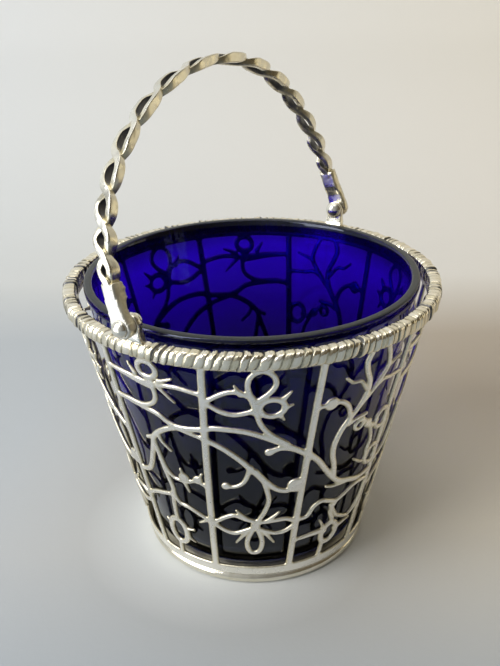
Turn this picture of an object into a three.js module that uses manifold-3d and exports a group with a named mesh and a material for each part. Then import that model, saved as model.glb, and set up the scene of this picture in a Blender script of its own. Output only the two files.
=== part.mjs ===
// A silver cream pail: a pierced tapering wall on a wire foot, a rope-edged rim with two ears,
// a pierced swing handle that turns on two rivets, and a loose blue glass liner.
// Millimetres, +Z up, standing on Z = 0, with the handle's hinge line along X.
import * as THREE from "three";
import { mergeVertices } from "three/addons/utils/BufferGeometryUtils.js";
import Module from "manifold-3d";

const wasm = await Module();
wasm.setup();

// Gaps that the pieces keep between them
const SEAT_GAP = 0.3;
const RIVET_CLEARANCE = 0.12;

// The foot wire and the base plate
const FOOT_WIRE_HEIGHT = 2.0;
const FOOT_WIRE_INSET = 0.5;
const FOOT_WIRE_WIDTH = 2.2;
const FOOT_WIRE_EDGE = 0.7;
const BASE_PLATE_THICKNESS = 1.0;

// The pierced wall, a cone of sheet silver
const WALL_FOOT_RADIUS = 27.8;
const WALL_TOP_RADIUS = 40.8;
const WALL_THICKNESS = 0.9;
const FOOT_BAND_HEIGHT = 4.1;
const PIERCED_HEIGHT = 56.8;
const RIM_BAND_HEIGHT = 0.7;
const BAR_WIDTH = 1.9;
const VINE_WIDTH = 1.35;
const RING_WIDTH = 1.2;
const LEAF_WIDTH = 2.2;

// The rope-edged rim wire
const ROPE_HALF_WIDTH = 1.7;
const ROPE_HALF_HEIGHT = 1.66;
const ROPE_LOBE_DEPTH = 0.3;
const ROPE_OVERHANG = 0.4;
const ROPE_HALF_LOBE_COUNT = 55;

// The ears that carry the handle
const EAR_THICKNESS = 2.2;
const EAR_OUTSET = 1.5;
const EAR_BASE_WIDTH = 7.6;
const EAR_BASE_HEIGHT = 2.6;
const EAR_TOP_RADIUS = 2.5;
const PIVOT_ABOVE_RIM = 7.5;

// The rivets, with a low head outside the handle and a rounder one inside the ear
const RIVET_RADIUS = 1.0;
const RIVET_OUTER_HEAD_RADIUS = 1.7;
const RIVET_OUTER_HEAD_HEIGHT = 1.2;
const RIVET_INNER_HEAD_RADIUS = 2.1;
const RIVET_INNER_HEAD_HEIGHT = 1.8;

// The handle
const HANDLE_THICKNESS = 2.2;
const HANDLE_RISE = 43.0;
const HANDLE_LEG = 3.0;
const HANDLE_BOW = 1.9;
const HANDLE_TONGUE_WIDTH = 3.7;
const HANDLE_END_RADIUS = 2.3;
const HANDLE_TONGUE_LENGTH = 11.0;
const HANDLE_OPENING_COUNT = 15;
const HANDLE_WAIST = 3.1;
const HANDLE_SWELL = 4.4;
const HANDLE_OPENING_WIDTH = 1.8;
const HANDLE_OPENING_LENGTH = 5.3;
const SHOULDER_SHARE = 0.8;
const HANDLE_LEAN_DEG = 11.7;

// The glass liner, which stands loose inside the wall
const LINER_FOOT_GAP = 1.3;
const LINER_RIM_GAP = 1.9;
const LINER_WALL = 1.9;
const LINER_FLOOR = 3.4;
const LINER_HEEL = 2.6;
const LINER_LIP_HEIGHT = 3.0;
const LINER_LIP_STEP = 0.5;
const LINER_ABOVE_RIM = 4.7;

// How finely round shapes are cut
const ROUND_STEPS = 48;
const RIVET_STEPS = 16;
const EAR_TOP_STEPS = 8;
const ROPE_SIDES = 6;
const RING_STEPS = 6;
const OPENING_STEPS = 8;
const END_STEPS = 3;
const ARCH_STEPS = 180;
const BAY_SLICE_COUNT = 3;
const BAY_SLICE_SHARE = 0.117;
const HANDLE_SLICE_SHARE = 0.1;
const WELD = 5e-6;

// Heights and radii that follow
const WALL_FOOT_Z = FOOT_WIRE_HEIGHT + SEAT_GAP;
const PIERCED_Z = WALL_FOOT_Z + FOOT_BAND_HEIGHT;
const PIERCED_TOP_Z = PIERCED_Z + PIERCED_HEIGHT;
const WALL_TOP_Z = PIERCED_TOP_Z + RIM_BAND_HEIGHT;
const BASE_PLATE_Z = WALL_FOOT_Z + SEAT_GAP;
const LINER_Z = BASE_PLATE_Z + BASE_PLATE_THICKNESS + SEAT_GAP;
const LINER_TOP_Z = WALL_TOP_Z + LINER_ABOVE_RIM;
const ROPE_Z = WALL_TOP_Z + SEAT_GAP + ROPE_HALF_HEIGHT;
const ROPE_RADIUS = WALL_TOP_RADIUS + ROPE_OVERHANG;
const PIVOT_Z = WALL_TOP_Z + PIVOT_ABOVE_RIM;
const LINER_RIM_RADIUS = WALL_TOP_RADIUS - WALL_THICKNESS - LINER_RIM_GAP;

// Places across the ears, measured out from the pail's axis
const EAR_OUTER = ROPE_RADIUS + EAR_OUTSET;
const EAR_INNER = EAR_OUTER - EAR_THICKNESS;
const HANDLE_INNER = EAR_OUTER + SEAT_GAP;
const HANDLE_MIDDLE = HANDLE_INNER + HANDLE_THICKNESS / 2;
const HANDLE_OUTER = HANDLE_INNER + HANDLE_THICKNESS;

// The upright bars stand between the bays. Their places are turns from the bay that faces the
// looker, whose middle lies at FRONT_TURN_DEG. They were set out by eye, so they lean and vary.
const FRONT_TURN_DEG = -147;
const BAR_TOPS_DEG = [-49.2, -14.5, 19.5, 55, 91.5, 128, 164.5, 201, 237.5, 274];
const BAR_FEET_DEG = [-51.5, -20, 15, 50.5, 87, 123.5, 160, 196.5, 233, 269.5];
const BAY_DESIGNS = ["leaf", "vine", "bud", "leaf", "vine", "bud", "leaf", "vine", "bud", "vine"];
const BAYS = BAR_TOPS_DEG.length;
const BAY_FLAT_WIDTH = (2 * Math.PI * (WALL_FOOT_RADIUS + WALL_TOP_RADIUS)) / 2 / BAYS;

// The drawing of each bay, at its plainest: the vines, leaves, rings and buds that carry the wall.
// Points are shares of the bay's width and of the pierced height.
const BAY_SHARES = {
  vine: {
    vines: [
      [[0.03, 0.73], [0.3, 0.742], [0.6, 0.7], [0.97, 0.6]],
      [[0.42, 0.885], [0.48, 0.8], [0.62, 0.7]],
      [[0.61, 0.635], [0.9, 0.625]],
      [[0.03, 0.675], [0.3, 0.61], [0.59, 0.484], [0.76, 0.43], [0.9, 0.44]],
      [[0.42, 0.545], [0.37, 0.475], [0.18, 0.46]],
      [[0.5, 0.53], [0.64, 0.41], [0.6, 0.3], [0.52, 0.245]],
    ],
    leaves: [
      [[0.52, 0.243], [0.28, 0.243], [0.03, 0.238]],
      [[0.52, 0.243], [0.97, 0.234]],
      [[0.44, 0.87], [0.24, 0.862], [0.03, 0.858]],
    ],
    rings: [[0.52, 0.145, 0.107, 0.085], [0.5, 0.945, 0.11, 0.052], [0.59, 0.838, 0.125, 0.044]],
    buds: [[0.92, 0.445, 0.097]],
  },
  leaf: {
    vines: [
      [[0.03, 0.773], [0.44, 0.768], [0.72, 0.717], [0.97, 0.727]],
      [[0.74, 0.712], [0.97, 0.67]],
      [[0.52, 0.89], [0.53, 0.83], [0.36, 0.775]],
      [[0.7, 0.717], [0.46, 0.66], [0.31, 0.52], [0.2, 0.435], [0.03, 0.405]],
      [[0.45, 0.66], [0.6, 0.586]],
      [[0.39, 0.61], [0.51, 0.39], [0.46, 0.33], [0.03, 0.27]],
      [[0.44, 0.52], [0.6, 0.445], [0.97, 0.44]],
      [[0.49, 0.355], [0.62, 0.295], [0.97, 0.243]],
      [[0.49, 0.35], [0.465, 0.2]],
      [[0.43, 0.06], [0.41, -0.02]],
    ],
    leaves: [
      [[0.52, 0.9], [0.03, 0.905]],
      [[0.52, 0.895], [0.97, 0.888]],
    ],
    rings: [[0.45, 0.123, 0.107, 0.069], [0.5, 0.955, 0.11, 0.042]],
    buds: [[0.705, 0.458, 0.065]],
  },
  bud: {
    vines: [
      [[0.03, 0.81], [0.25, 0.81], [0.385, 0.71]],
      [[0.455, 0.998], [0.43, 0.93], [0.51, 0.83], [0.3, 0.66], [0.27, 0.55], [0.34, 0.44]],
      [[0.62, 0.998], [0.7, 0.92], [0.47, 0.775]],
      [[0.25, 0.905], [0.51, 0.84]],
      [[0.6, 0.84], [0.97, 0.83]],
      [[0.34, 0.68], [0.56, 0.7], [0.76, 0.56], [0.84, 0.48]],
      [[0.64, 0.65], [0.82, 0.634]],
      [[0.03, 0.6], [0.3, 0.455], [0.5, 0.39], [0.77, 0.36], [0.97, 0.37]],
      [[0.03, 0.25], [0.285, 0.317], [0.52, 0.289], [0.97, 0.32]],
      [[0.51, 0.16], [0.5, 0.29]],
      [[0.5, 0.25], [0.7, 0.165], [0.93, 0.194], [0.97, 0.3]],
      [[0.47, 0.06], [0.45, -0.02]],
    ],
    leaves: [[[0.03, 0.127], [0.42, 0.13]]],
    rings: [[0.51, 0.11, 0.1, 0.056], [0.89, 0.634, 0.1, 0.046], [0.9, 0.458, 0.1, 0.046]],
    buds: [[0.14, 0.815, 0.074]],
  },
};

// A mesh's geometry as a closed solid, for booleans
function solidOf(geometry) {
  const bare = geometry.clone();
  bare.deleteAttribute("normal");
  bare.deleteAttribute("uv");
  const merged = mergeVertices(bare);
  return new wasm.Manifold(
    new wasm.Mesh({
      numProp: 3,
      vertProperties: merged.attributes.position.array,
      triVerts: new Uint32Array(merged.index.array),
    }),
  );
}

// The same way back, as lists of points and of triangles
function listsOf(solid) {
  const mesh = solid.getMesh();
  const points = [];
  for (let i = 0; i < mesh.numVert; i++) {
    points.push(Array.from(mesh.vertProperties.subarray(i * mesh.numProp, i * mesh.numProp + 3)));
  }
  const triangles = [];
  for (let i = 0; i < mesh.numTri; i++) {
    triangles.push(Array.from(mesh.triVerts.subarray(i * 3, i * 3 + 3)));
  }
  return { points, triangles };
}

function geometryOf({ points, triangles }) {
  const geometry = new THREE.BufferGeometry();
  geometry.setAttribute("position", new THREE.Float32BufferAttribute(points.flat(), 3));
  geometry.setIndex(triangles.flat());
  return geometry;
}

// Cuts a flat drawing at stations along X, bends each slice round a curve and joins the slices
// again. Slices share the corners of each cut, and where closed is true the last cut is the first.
function bendSlices(flat, stations, reach, bend, closed) {
  const points = [];
  const triangles = [];
  const cuts = stations.map(() => []);
  const same = (p, q) => Math.abs(p - q) < WELD * reach;
  const cutOf = (x) => {
    const cut = stations.findIndex((station) => same(station, x));
    return closed && cut === stations.length - 1 ? 0 : cut;
  };
  const cornerOn = (cut, [, y, z]) => {
    const known = cuts[cut].find((corner) => same(corner.y, y) && same(corner.z, z));
    if (known) return known;
    const corner = { y, z, index: points.length };
    points.push(bend([stations[cut], y, z]));
    cuts[cut].push(corner);
    return corner;
  };
  const slices = stations.slice(1).map((high, i) => {
    const low = stations[i];
    const block = new THREE.BoxGeometry(high - low, reach, reach).translate((low + high) / 2, 0, 0);
    const slice = listsOf(flat.intersect(solidOf(block)));
    const corners = slice.points.map((point) => {
      const cut = cutOf(point[0]);
      if (cut >= 0) return { cut, ...cornerOn(cut, point) };
      points.push(bend(point));
      return { cut, index: points.length - 1 };
    });
    const at = (x) => (corner) => same(slice.points[corner][0], x);
    const skin = slice.triangles.filter((face) => !face.every(at(low)) && !face.every(at(high)));
    return skin.map((face) => face.map((corner) => corners[corner]));
  });
  for (const [a, b, c] of slices.flat()) {
    const cutEdge = (p, q) => p.cut >= 0 && p.cut === q.cut;
    if (cutEdge(a, b)) triangles.push(...fan(a, b, c, cuts[a.cut], same));
    else if (cutEdge(b, c)) triangles.push(...fan(b, c, a, cuts[b.cut], same));
    else if (cutEdge(c, a)) triangles.push(...fan(c, a, b, cuts[c.cut], same));
    else triangles.push([a.index, b.index, c.index]);
  }
  return geometryOf({ points, triangles });
}

// A triangle whose edge from a to b lies on a cut, split at the corners that the edge passes
function fan(a, b, c, corners, same) {
  const run = Math.hypot(b.y - a.y, b.z - a.z);
  const along = (p) => ((p.y - a.y) * (b.y - a.y) + (p.z - a.z) * (b.z - a.z)) / run;
  const off = (p) => ((p.y - a.y) * (b.z - a.z) - (p.z - a.z) * (b.y - a.y)) / run;
  const inside = corners
    .filter((p) => same(off(p), 0) && along(p) > 0 && along(p) < run)
    .filter((p) => p.index !== a.index && p.index !== b.index)
    .sort((p, q) => along(p) - along(q));
  const line = [a, ...inside, b];
  return line.slice(1).map((p, i) => [line[i].index, p.index, c.index]);
}

// A flat plate with an outline and holes, as thick as asked, from z = 0
function plate(outline, thickness, holes = []) {
  const shape = new THREE.Shape(outline.map(([x, y]) => new THREE.Vector2(x, y)));
  for (const hole of holes) {
    shape.holes.push(new THREE.Path(hole.map(([x, y]) => new THREE.Vector2(x, y))));
  }
  return new THREE.ExtrudeGeometry(shape, { depth: thickness, bevelEnabled: false });
}

function lathe(profile, steps) {
  const points = profile.map(([r, z]) => new THREE.Vector2(r, z));
  return new THREE.LatheGeometry(points, steps).rotateX(Math.PI / 2);
}

function ellipse(cx, cy, rx, ry, steps) {
  return Array.from({ length: steps }, (_, i) => {
    const turn = (2 * Math.PI * i) / steps;
    return [cx - rx * Math.sin(turn), cy + ry * Math.cos(turn)];
  });
}

function between(low, high, share) {
  return low + (high - low) * share;
}

// The wall's outer radius at a height
function wallRadius(z) {
  return between(WALL_FOOT_RADIUS, WALL_TOP_RADIUS, (z - WALL_FOOT_Z) / (WALL_TOP_Z - WALL_FOOT_Z));
}

// The flat drawing is as wide as the wall's mean turn. This is what a true length across becomes there.
function flatAcross(length, z) {
  return (length * (WALL_FOOT_RADIUS + WALL_TOP_RADIUS)) / 2 / wallRadius(z);
}

// A share of the bay to flat millimetres, with y = 0 at the foot of the openings
function flatPoint([across, up]) {
  return [across * BAY_FLAT_WIDTH, up * PIERCED_HEIGHT];
}

// A strip of even width along a drawn line
function strip(line, width) {
  const path = line.map(flatPoint);
  const left = [];
  const right = [];
  path.forEach(([x, y], i) => {
    const before = path[Math.max(i - 1, 0)];
    const after = path[Math.min(i + 1, path.length - 1)];
    const squeeze = flatAcross(1, y + PIERCED_Z);
    const along = new THREE.Vector2((after[0] - before[0]) / squeeze, after[1] - before[1]).normalize();
    const reach = width / 2;
    left.push([x - along.y * reach * squeeze, y + along.x * reach]);
    right.push([x + along.y * reach * squeeze, y - along.x * reach]);
  });
  return plate([...left, ...right.reverse()], WALL_THICKNESS);
}

function ring([across, up, halfWidth, halfHeight]) {
  const [x, y] = flatPoint([across, up]);
  const [rx, ry] = flatPoint([halfWidth, halfHeight]);
  const outline = (grow) =>
    ellipse(x, y, flatAcross(rx + grow, y + PIERCED_Z), ry + grow, RING_STEPS);
  return plate(outline(RING_WIDTH / 2), WALL_THICKNESS, [outline(-RING_WIDTH / 2)]);
}

function bud([across, up, size]) {
  const [x, y] = flatPoint([across, up]);
  const [radius] = flatPoint([size, 0]);
  return plate(ellipse(x, y, flatAcross(radius, y + PIERCED_Z), radius, RING_STEPS), WALL_THICKNESS);
}

// One bay's drawing as one flat solid
function bay(shares) {
  const pieces = [
    ...shares.vines.map((line) => strip(line, VINE_WIDTH)),
    ...shares.leaves.map((line) => strip(line, LEAF_WIDTH)),
    ...shares.rings.map(ring),
    ...shares.buds.map(bud),
  ];
  return pieces.map(solidOf).reduce((all, piece) => all.add(piece));
}

function box(x0, x1, y0, y1) {
  return solidOf(plate([[x0, y0], [x1, y0], [x1, y1], [x0, y1]], WALL_THICKNESS));
}

// Where a flat point of the wall lies round the pail
function wallPoint([x, y, depth]) {
  const z = y + PIERCED_Z;
  const up = y / PIERCED_HEIGHT;
  const place = x / BAY_FLAT_WIDTH;
  const index = Math.floor(place);
  const turnOf = (bar) => {
    const full = 360 * Math.floor(bar / BAYS);
    return between(BAR_FEET_DEG[bar % BAYS], BAR_TOPS_DEG[bar % BAYS], up) + full;
  };
  const turn = between(turnOf(index), turnOf(index + 1), place - index) + FRONT_TURN_DEG;
  const angle = THREE.MathUtils.degToRad(turn);
  const radius = wallRadius(z) - WALL_THICKNESS + depth;
  return [radius * Math.cos(angle), radius * Math.sin(angle), z];
}

// The wall is drawn flat, a little more than once round, then cut in slices and bent to a ring
function piercedWall() {
  const length = BAYS * BAY_FLAT_WIDTH;
  const end = length + BAY_FLAT_WIDTH;
  const top = PIERCED_HEIGHT + RIM_BAND_HEIGHT;
  let flat = box(0, end, -FOOT_BAND_HEIGHT, 0).add(box(0, end, PIERCED_HEIGHT, top));
  for (let i = 0; i <= BAYS; i++) {
    const middle = i * BAY_FLAT_WIDTH;
    flat = flat.add(box(middle - BAR_WIDTH / 2, middle + BAR_WIDTH / 2, -FOOT_BAND_HEIGHT, top));
  }
  const drawn = Object.fromEntries(
    Object.entries(BAY_SHARES).map(([name, shares]) => [name, geometryOf(listsOf(bay(shares)))]),
  );
  for (let i = 0; i <= BAYS; i++) {
    const design = drawn[BAY_DESIGNS[i % BAYS]];
    flat = flat.add(solidOf(design.clone().translate(i * BAY_FLAT_WIDTH, 0, 0)));
  }
  const step = BAY_FLAT_WIDTH / BAY_SLICE_COUNT;
  const first = BAY_SLICE_SHARE * BAY_FLAT_WIDTH;
  const stations = Array.from({ length: BAYS * BAY_SLICE_COUNT + 1 }, (_, i) => first + i * step);
  return bendSlices(flat, stations, 4 * PIERCED_HEIGHT, wallPoint, true);
}

// A wire with oblique lobes, from one turn to another, closed at both ends
function ropeWire(fromTurn, toTurn) {
  const points = [];
  const triangles = [];
  const steps = 2 * ROPE_HALF_LOBE_COUNT;
  for (let i = 0; i <= steps; i++) {
    const turn = between(fromTurn, toTurn, i / steps);
    for (let k = 0; k < ROPE_SIDES; k++) {
      const side = (2 * Math.PI * k) / ROPE_SIDES;
      const lobe = ROPE_LOBE_DEPTH * Math.cos(Math.PI * i + side / 2) * Math.cos(side / 2);
      const r = ROPE_RADIUS + (ROPE_HALF_WIDTH - ROPE_LOBE_DEPTH / 2 + lobe / 2) * Math.cos(side);
      const z = ROPE_Z + (ROPE_HALF_HEIGHT - ROPE_LOBE_DEPTH / 2 + lobe / 2) * Math.sin(side);
      points.push([r * Math.cos(turn), r * Math.sin(turn), z]);
      if (i < steps) {
        const next = (k + 1) % ROPE_SIDES;
        const a = i * ROPE_SIDES;
        const b = a + ROPE_SIDES;
        triangles.push([a + k, b + next, a + next], [a + k, b + k, b + next]);
      }
    }
  }
  for (let k = 1; k < ROPE_SIDES - 1; k++) {
    const last = steps * ROPE_SIDES;
    triangles.push([0, k, k + 1], [last, last + k + 1, last + k]);
  }
  return geometryOf({ points, triangles });
}

function baseRadius(z) {
  return wallRadius(z) - WALL_THICKNESS - SEAT_GAP;
}

function footWire() {
  const outer = WALL_FOOT_RADIUS - FOOT_WIRE_INSET;
  const inner = outer - FOOT_WIRE_WIDTH;
  const edge = FOOT_WIRE_EDGE;
  const top = FOOT_WIRE_HEIGHT;
  return lathe(
    [[inner, 0], [outer - edge, 0], [outer, edge], [outer, top - edge], [outer - edge / 2, top],
      [inner, top], [inner, 0]],
    ROUND_STEPS,
  );
}

function basePlate() {
  const low = BASE_PLATE_Z;
  const high = low + BASE_PLATE_THICKNESS;
  return lathe([[0, low], [baseRadius(low), low], [baseRadius(low), high], [0, high]], ROUND_STEPS);
}

function linerRadius(z) {
  const heel = LINER_Z + LINER_HEEL;
  const share = (z - heel) / (LINER_TOP_Z - LINER_LIP_HEIGHT - heel);
  const foot = wallRadius(heel) - WALL_THICKNESS - LINER_FOOT_GAP;
  return between(foot, LINER_RIM_RADIUS - LINER_LIP_STEP, share);
}

function glassLiner() {
  const floor = LINER_Z + LINER_FLOOR;
  const lip = LINER_TOP_Z - LINER_LIP_HEIGHT;
  const heelRadius = linerRadius(LINER_Z + LINER_HEEL);
  const inside = (z) => linerRadius(z) - LINER_WALL;
  return lathe(
    [
      [0, LINER_Z],
      [heelRadius - LINER_HEEL, LINER_Z],
      [heelRadius - LINER_HEEL / 4, LINER_Z + LINER_HEEL / 3],
      [heelRadius, LINER_Z + LINER_HEEL],
      [linerRadius(lip), lip],
      [LINER_RIM_RADIUS, lip + LINER_LIP_HEIGHT / 3],
      [LINER_RIM_RADIUS, LINER_TOP_Z - LINER_LIP_STEP],
      [LINER_RIM_RADIUS - LINER_LIP_STEP, LINER_TOP_Z],
      [LINER_RIM_RADIUS - LINER_WALL, LINER_TOP_Z],
      [inside(lip), lip],
      [inside(floor + LINER_HEEL), floor + LINER_HEEL],
      [inside(floor) - LINER_HEEL / 2, floor],
      [0, floor],
    ],
    ROUND_STEPS,
  );
}

// An ear stands in the gap of the rope wire: drawn in Y and Z, then turned to face along X
function ear() {
  const base = WALL_TOP_Z + SEAT_GAP - PIVOT_Z;
  const shoulder = base + EAR_BASE_HEIGHT;
  const half = EAR_BASE_WIDTH / 2;
  const cap = Array.from({ length: EAR_TOP_STEPS + 1 }, (_, i) => {
    const turn = (Math.PI * i) / EAR_TOP_STEPS;
    return [EAR_TOP_RADIUS * Math.cos(turn), EAR_TOP_RADIUS * Math.sin(turn)];
  });
  const outline = [[-half, base], [half, base], [half, shoulder], ...cap, [-half, shoulder]];
  const hole = ellipse(0, 0, RIVET_RADIUS + RIVET_CLEARANCE, RIVET_RADIUS + RIVET_CLEARANCE, RIVET_STEPS);
  const flat = plate(outline, EAR_THICKNESS, [hole]);
  return flat.rotateZ(Math.PI / 2).rotateY(Math.PI / 2).translate(EAR_INNER, 0, PIVOT_Z);
}

// A rivet with a domed head at each end, along X
function rivet() {
  const inner = EAR_INNER - SEAT_GAP;
  const outer = HANDLE_OUTER + SEAT_GAP;
  const dome = (from, radius, height) =>
    [0, 30, 60].map((deg) => {
      const turn = THREE.MathUtils.degToRad(deg);
      return [radius * Math.cos(turn), from + height * Math.sin(turn)];
    });
  const profile = [
    [0, inner - RIVET_INNER_HEAD_HEIGHT],
    ...dome(inner, RIVET_INNER_HEAD_RADIUS, -RIVET_INNER_HEAD_HEIGHT).reverse(),
    [RIVET_RADIUS, inner],
    [RIVET_RADIUS, outer],
    ...dome(outer, RIVET_OUTER_HEAD_RADIUS, RIVET_OUTER_HEAD_HEIGHT),
    [0, outer + RIVET_OUTER_HEAD_HEIGHT],
  ];
  return lathe(profile, RIVET_STEPS).rotateY(Math.PI / 2).translate(0, 0, PIVOT_Z);
}

// The handle's middle line: up one leg, over a half ellipse and down the other leg
const HANDLE_PATH = (() => {
  const points = [];
  for (let i = 0; i <= ARCH_STEPS; i++) {
    const turn = Math.PI * (1 - i / ARCH_STEPS);
    const rise = HANDLE_RISE - HANDLE_LEG;
    points.push([HANDLE_MIDDLE * Math.cos(turn), HANDLE_LEG + rise * Math.sin(turn)]);
  }
  const lengths = [HANDLE_LEG];
  for (let i = 1; i < points.length; i++) {
    const run = Math.hypot(points[i][0] - points[i - 1][0], points[i][1] - points[i - 1][1]);
    lengths.push(lengths[i - 1] + run);
  }
  return { points, lengths, total: lengths[lengths.length - 1] + HANDLE_LEG };
})();

// The old handle is bent sideways a little, most at half its height
function handleBow(height) {
  return HANDLE_BOW * Math.sin((Math.PI * Math.max(height, 0)) / HANDLE_RISE);
}

// A flat point of the handle, bent onto its arch
function handlePoint([along, across, depth]) {
  const { points, lengths, total } = HANDLE_PATH;
  const out = depth - HANDLE_THICKNESS / 2;
  if (along <= HANDLE_LEG) return [-HANDLE_MIDDLE - out, across + handleBow(along), along];
  const left = total - along;
  if (left <= HANDLE_LEG) return [HANDLE_MIDDLE + out, across + handleBow(left), left];
  const i = Math.max(lengths.findIndex((length) => length >= along), 1);
  const share = (along - lengths[i - 1]) / (lengths[i] - lengths[i - 1]);
  const x = between(points[i - 1][0], points[i][0], share);
  const z = between(points[i - 1][1], points[i][1], share);
  const run = lengths[i] - lengths[i - 1];
  const slope = [(points[i][0] - points[i - 1][0]) / run, (points[i][1] - points[i - 1][1]) / run];
  return [x - slope[1] * out, across + handleBow(z), z + slope[0] * out];
}

// One edge of the flat handle, from the round end at the left rivet to that at the right one
function handleEdge(total, pitch) {
  const end = Array.from({ length: END_STEPS }, (_, i) => {
    const turn = (Math.PI * (i + 1)) / 2 / END_STEPS;
    return [-HANDLE_END_RADIUS * Math.cos(turn), HANDLE_END_RADIUS * Math.sin(turn)];
  });
  const tongue = HANDLE_TONGUE_WIDTH / 2;
  const shoulder = between(HANDLE_WAIST, HANDLE_SWELL, SHOULDER_SHARE) / 2;
  const edge = [...end, [HANDLE_END_RADIUS, tongue]];
  for (let i = 0; i < HANDLE_OPENING_COUNT; i++) {
    const start = HANDLE_TONGUE_LENGTH + i * pitch;
    edge.push([start, i === 0 ? tongue : HANDLE_WAIST / 2]);
    edge.push([start + pitch / 4, shoulder]);
    edge.push([start + pitch / 2, HANDLE_SWELL / 2]);
    edge.push([start + pitch - pitch / 4, shoulder]);
  }
  edge.push([total - HANDLE_TONGUE_LENGTH, tongue], [total - HANDLE_END_RADIUS, tongue]);
  return [...edge, ...end.map(([x, y]) => [total - x, y]).reverse()];
}

// The handle is drawn flat, with its openings and rivet holes, then cut in slices and bent
function handle() {
  const { total } = HANDLE_PATH;
  const pitch = (total - 2 * HANDLE_TONGUE_LENGTH) / HANDLE_OPENING_COUNT;
  const edge = handleEdge(total, pitch);
  const outline = [
    [-HANDLE_END_RADIUS, 0],
    ...edge.map(([x, y]) => [x, -y]),
    [total + HANDLE_END_RADIUS, 0],
    ...edge.slice().reverse(),
  ];
  const bore = RIVET_RADIUS + RIVET_CLEARANCE;
  const holes = [0, total].map((at) => ellipse(at, 0, bore, bore, RIVET_STEPS));
  for (let i = 0; i < HANDLE_OPENING_COUNT; i++) {
    const middle = HANDLE_TONGUE_LENGTH + (i + 0.5) * pitch;
    holes.push(ellipse(middle, 0, HANDLE_OPENING_LENGTH / 2, HANDLE_OPENING_WIDTH / 2, OPENING_STEPS));
  }
  const stations = [-2 * HANDLE_END_RADIUS];
  for (let i = -2; i < 2 * HANDLE_OPENING_COUNT + 2; i++) {
    stations.push(HANDLE_TONGUE_LENGTH + (i / 2 + HANDLE_SLICE_SHARE) * pitch);
  }
  stations.push(total + 2 * HANDLE_END_RADIUS);
  const flat = solidOf(plate(outline, HANDLE_THICKNESS, holes));
  return bendSlices(flat, stations, total, handlePoint, false);
}

const silver = (tone) =>
  new THREE.MeshStandardMaterial({ color: tone, metalness: 1, roughness: 0.22 });
const POLISHED = silver(0xd8d5ce);
const WORN = silver(0xc9c5bb);
const GLASS = new THREE.MeshStandardMaterial({
  color: 0x0a0f8c,
  metalness: 0,
  roughness: 0.05,
  transparent: true,
  opacity: 0.6,
});

function named(name, geometry, material) {
  const mesh = new THREE.Mesh(geometry, material);
  mesh.name = name;
  mesh.geometry.computeVertexNormals();
  return mesh;
}

const pail = new THREE.Group();
pail.add(named("foot_wire", footWire(), WORN));
pail.add(named("base_plate", basePlate(), WORN));
pail.add(named("pierced_wall", piercedWall(), POLISHED));

const earTurn = Math.asin((EAR_BASE_WIDTH / 2 + SEAT_GAP) / (ROPE_RADIUS - ROPE_HALF_WIDTH));
pail.add(named("rope_wire_back", ropeWire(earTurn, Math.PI - earTurn), POLISHED));
pail.add(named("rope_wire_front", ropeWire(Math.PI + earTurn, 2 * Math.PI - earTurn), POLISHED));

for (const [side, turn] of [["right", 0], ["left", Math.PI]]) {
  const mounting = new THREE.Group();
  mounting.rotation.z = turn;
  mounting.add(named("ear_" + side, ear(), POLISHED));
  mounting.add(named("hinge_rivet_" + side, rivet(), POLISHED));
  pail.add(mounting);
}

const swing = new THREE.Group();
swing.position.z = PIVOT_Z;
swing.rotation.x = THREE.MathUtils.degToRad(-HANDLE_LEAN_DEG);
swing.add(named("handle", handle(), POLISHED));
pail.add(swing);

pail.add(named("glass_liner", glassLiner(), GLASS));

export default pail;
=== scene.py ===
"""Looks of the silver cream pail: fine pierced wall, rope rim, interlaced swing handle, blue glass."""
import math

import bmesh
import bpy
import numpy as np
from mathutils import Matrix, Vector


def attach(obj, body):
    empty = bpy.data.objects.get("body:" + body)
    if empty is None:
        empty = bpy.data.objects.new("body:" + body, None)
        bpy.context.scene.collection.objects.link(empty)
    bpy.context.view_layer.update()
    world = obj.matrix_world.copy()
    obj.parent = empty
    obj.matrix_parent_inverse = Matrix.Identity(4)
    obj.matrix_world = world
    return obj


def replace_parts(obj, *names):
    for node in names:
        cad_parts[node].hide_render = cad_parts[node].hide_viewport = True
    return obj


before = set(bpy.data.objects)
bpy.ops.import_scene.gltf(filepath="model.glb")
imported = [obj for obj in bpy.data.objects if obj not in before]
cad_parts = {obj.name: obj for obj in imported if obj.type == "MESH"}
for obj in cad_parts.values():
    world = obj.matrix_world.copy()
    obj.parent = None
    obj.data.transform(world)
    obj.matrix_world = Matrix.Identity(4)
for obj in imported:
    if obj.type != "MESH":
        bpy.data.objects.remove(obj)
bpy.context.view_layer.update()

MM = 0.001

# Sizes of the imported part, in millimetres
SEAT_GAP = 0.3
FOOT_INNER_RADIUS = 25.1
WALL_FOOT_Z = 2.3
WALL_FOOT_RADIUS = 27.8
WALL_TOP_RADIUS = 40.8
WALL_THICKNESS = 0.9
WALL_TOP_Z = 63.9
PIERCED_Z = 6.4
PIERCED_HEIGHT = 56.8
BASE_LOW_Z = 2.6
BASE_TOP_Z = 3.6
BASE_RADIUS = 26.66
ROPE_HALF_WIDTH = 1.7
ROPE_HALF_HEIGHT = 1.66
ROPE_RADIUS = 41.2
ROPE_Z = WALL_TOP_Z + SEAT_GAP + ROPE_HALF_HEIGHT
EAR_THICKNESS = 2.2
EAR_HALF_WIDTH = 3.8
EAR_TOP_RADIUS = 2.5
EAR_OUTER = 42.7
EAR_BASE_Z = WALL_TOP_Z + SEAT_GAP
EAR_SHOULDER_Z = EAR_BASE_Z + 2.6
PIVOT_Z = 71.4
RIVET_RADIUS = 1.0
BORE_RADIUS = 1.12
HANDLE_THICKNESS = 2.2
HANDLE_MIDDLE = EAR_OUTER + SEAT_GAP + HANDLE_THICKNESS / 2
HANDLE_RISE = 43.0
HANDLE_LEG = 3.0
HANDLE_BOW = 1.9
HANDLE_END = 2.3
HANDLE_LEAN = math.radians(11.7)
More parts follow.
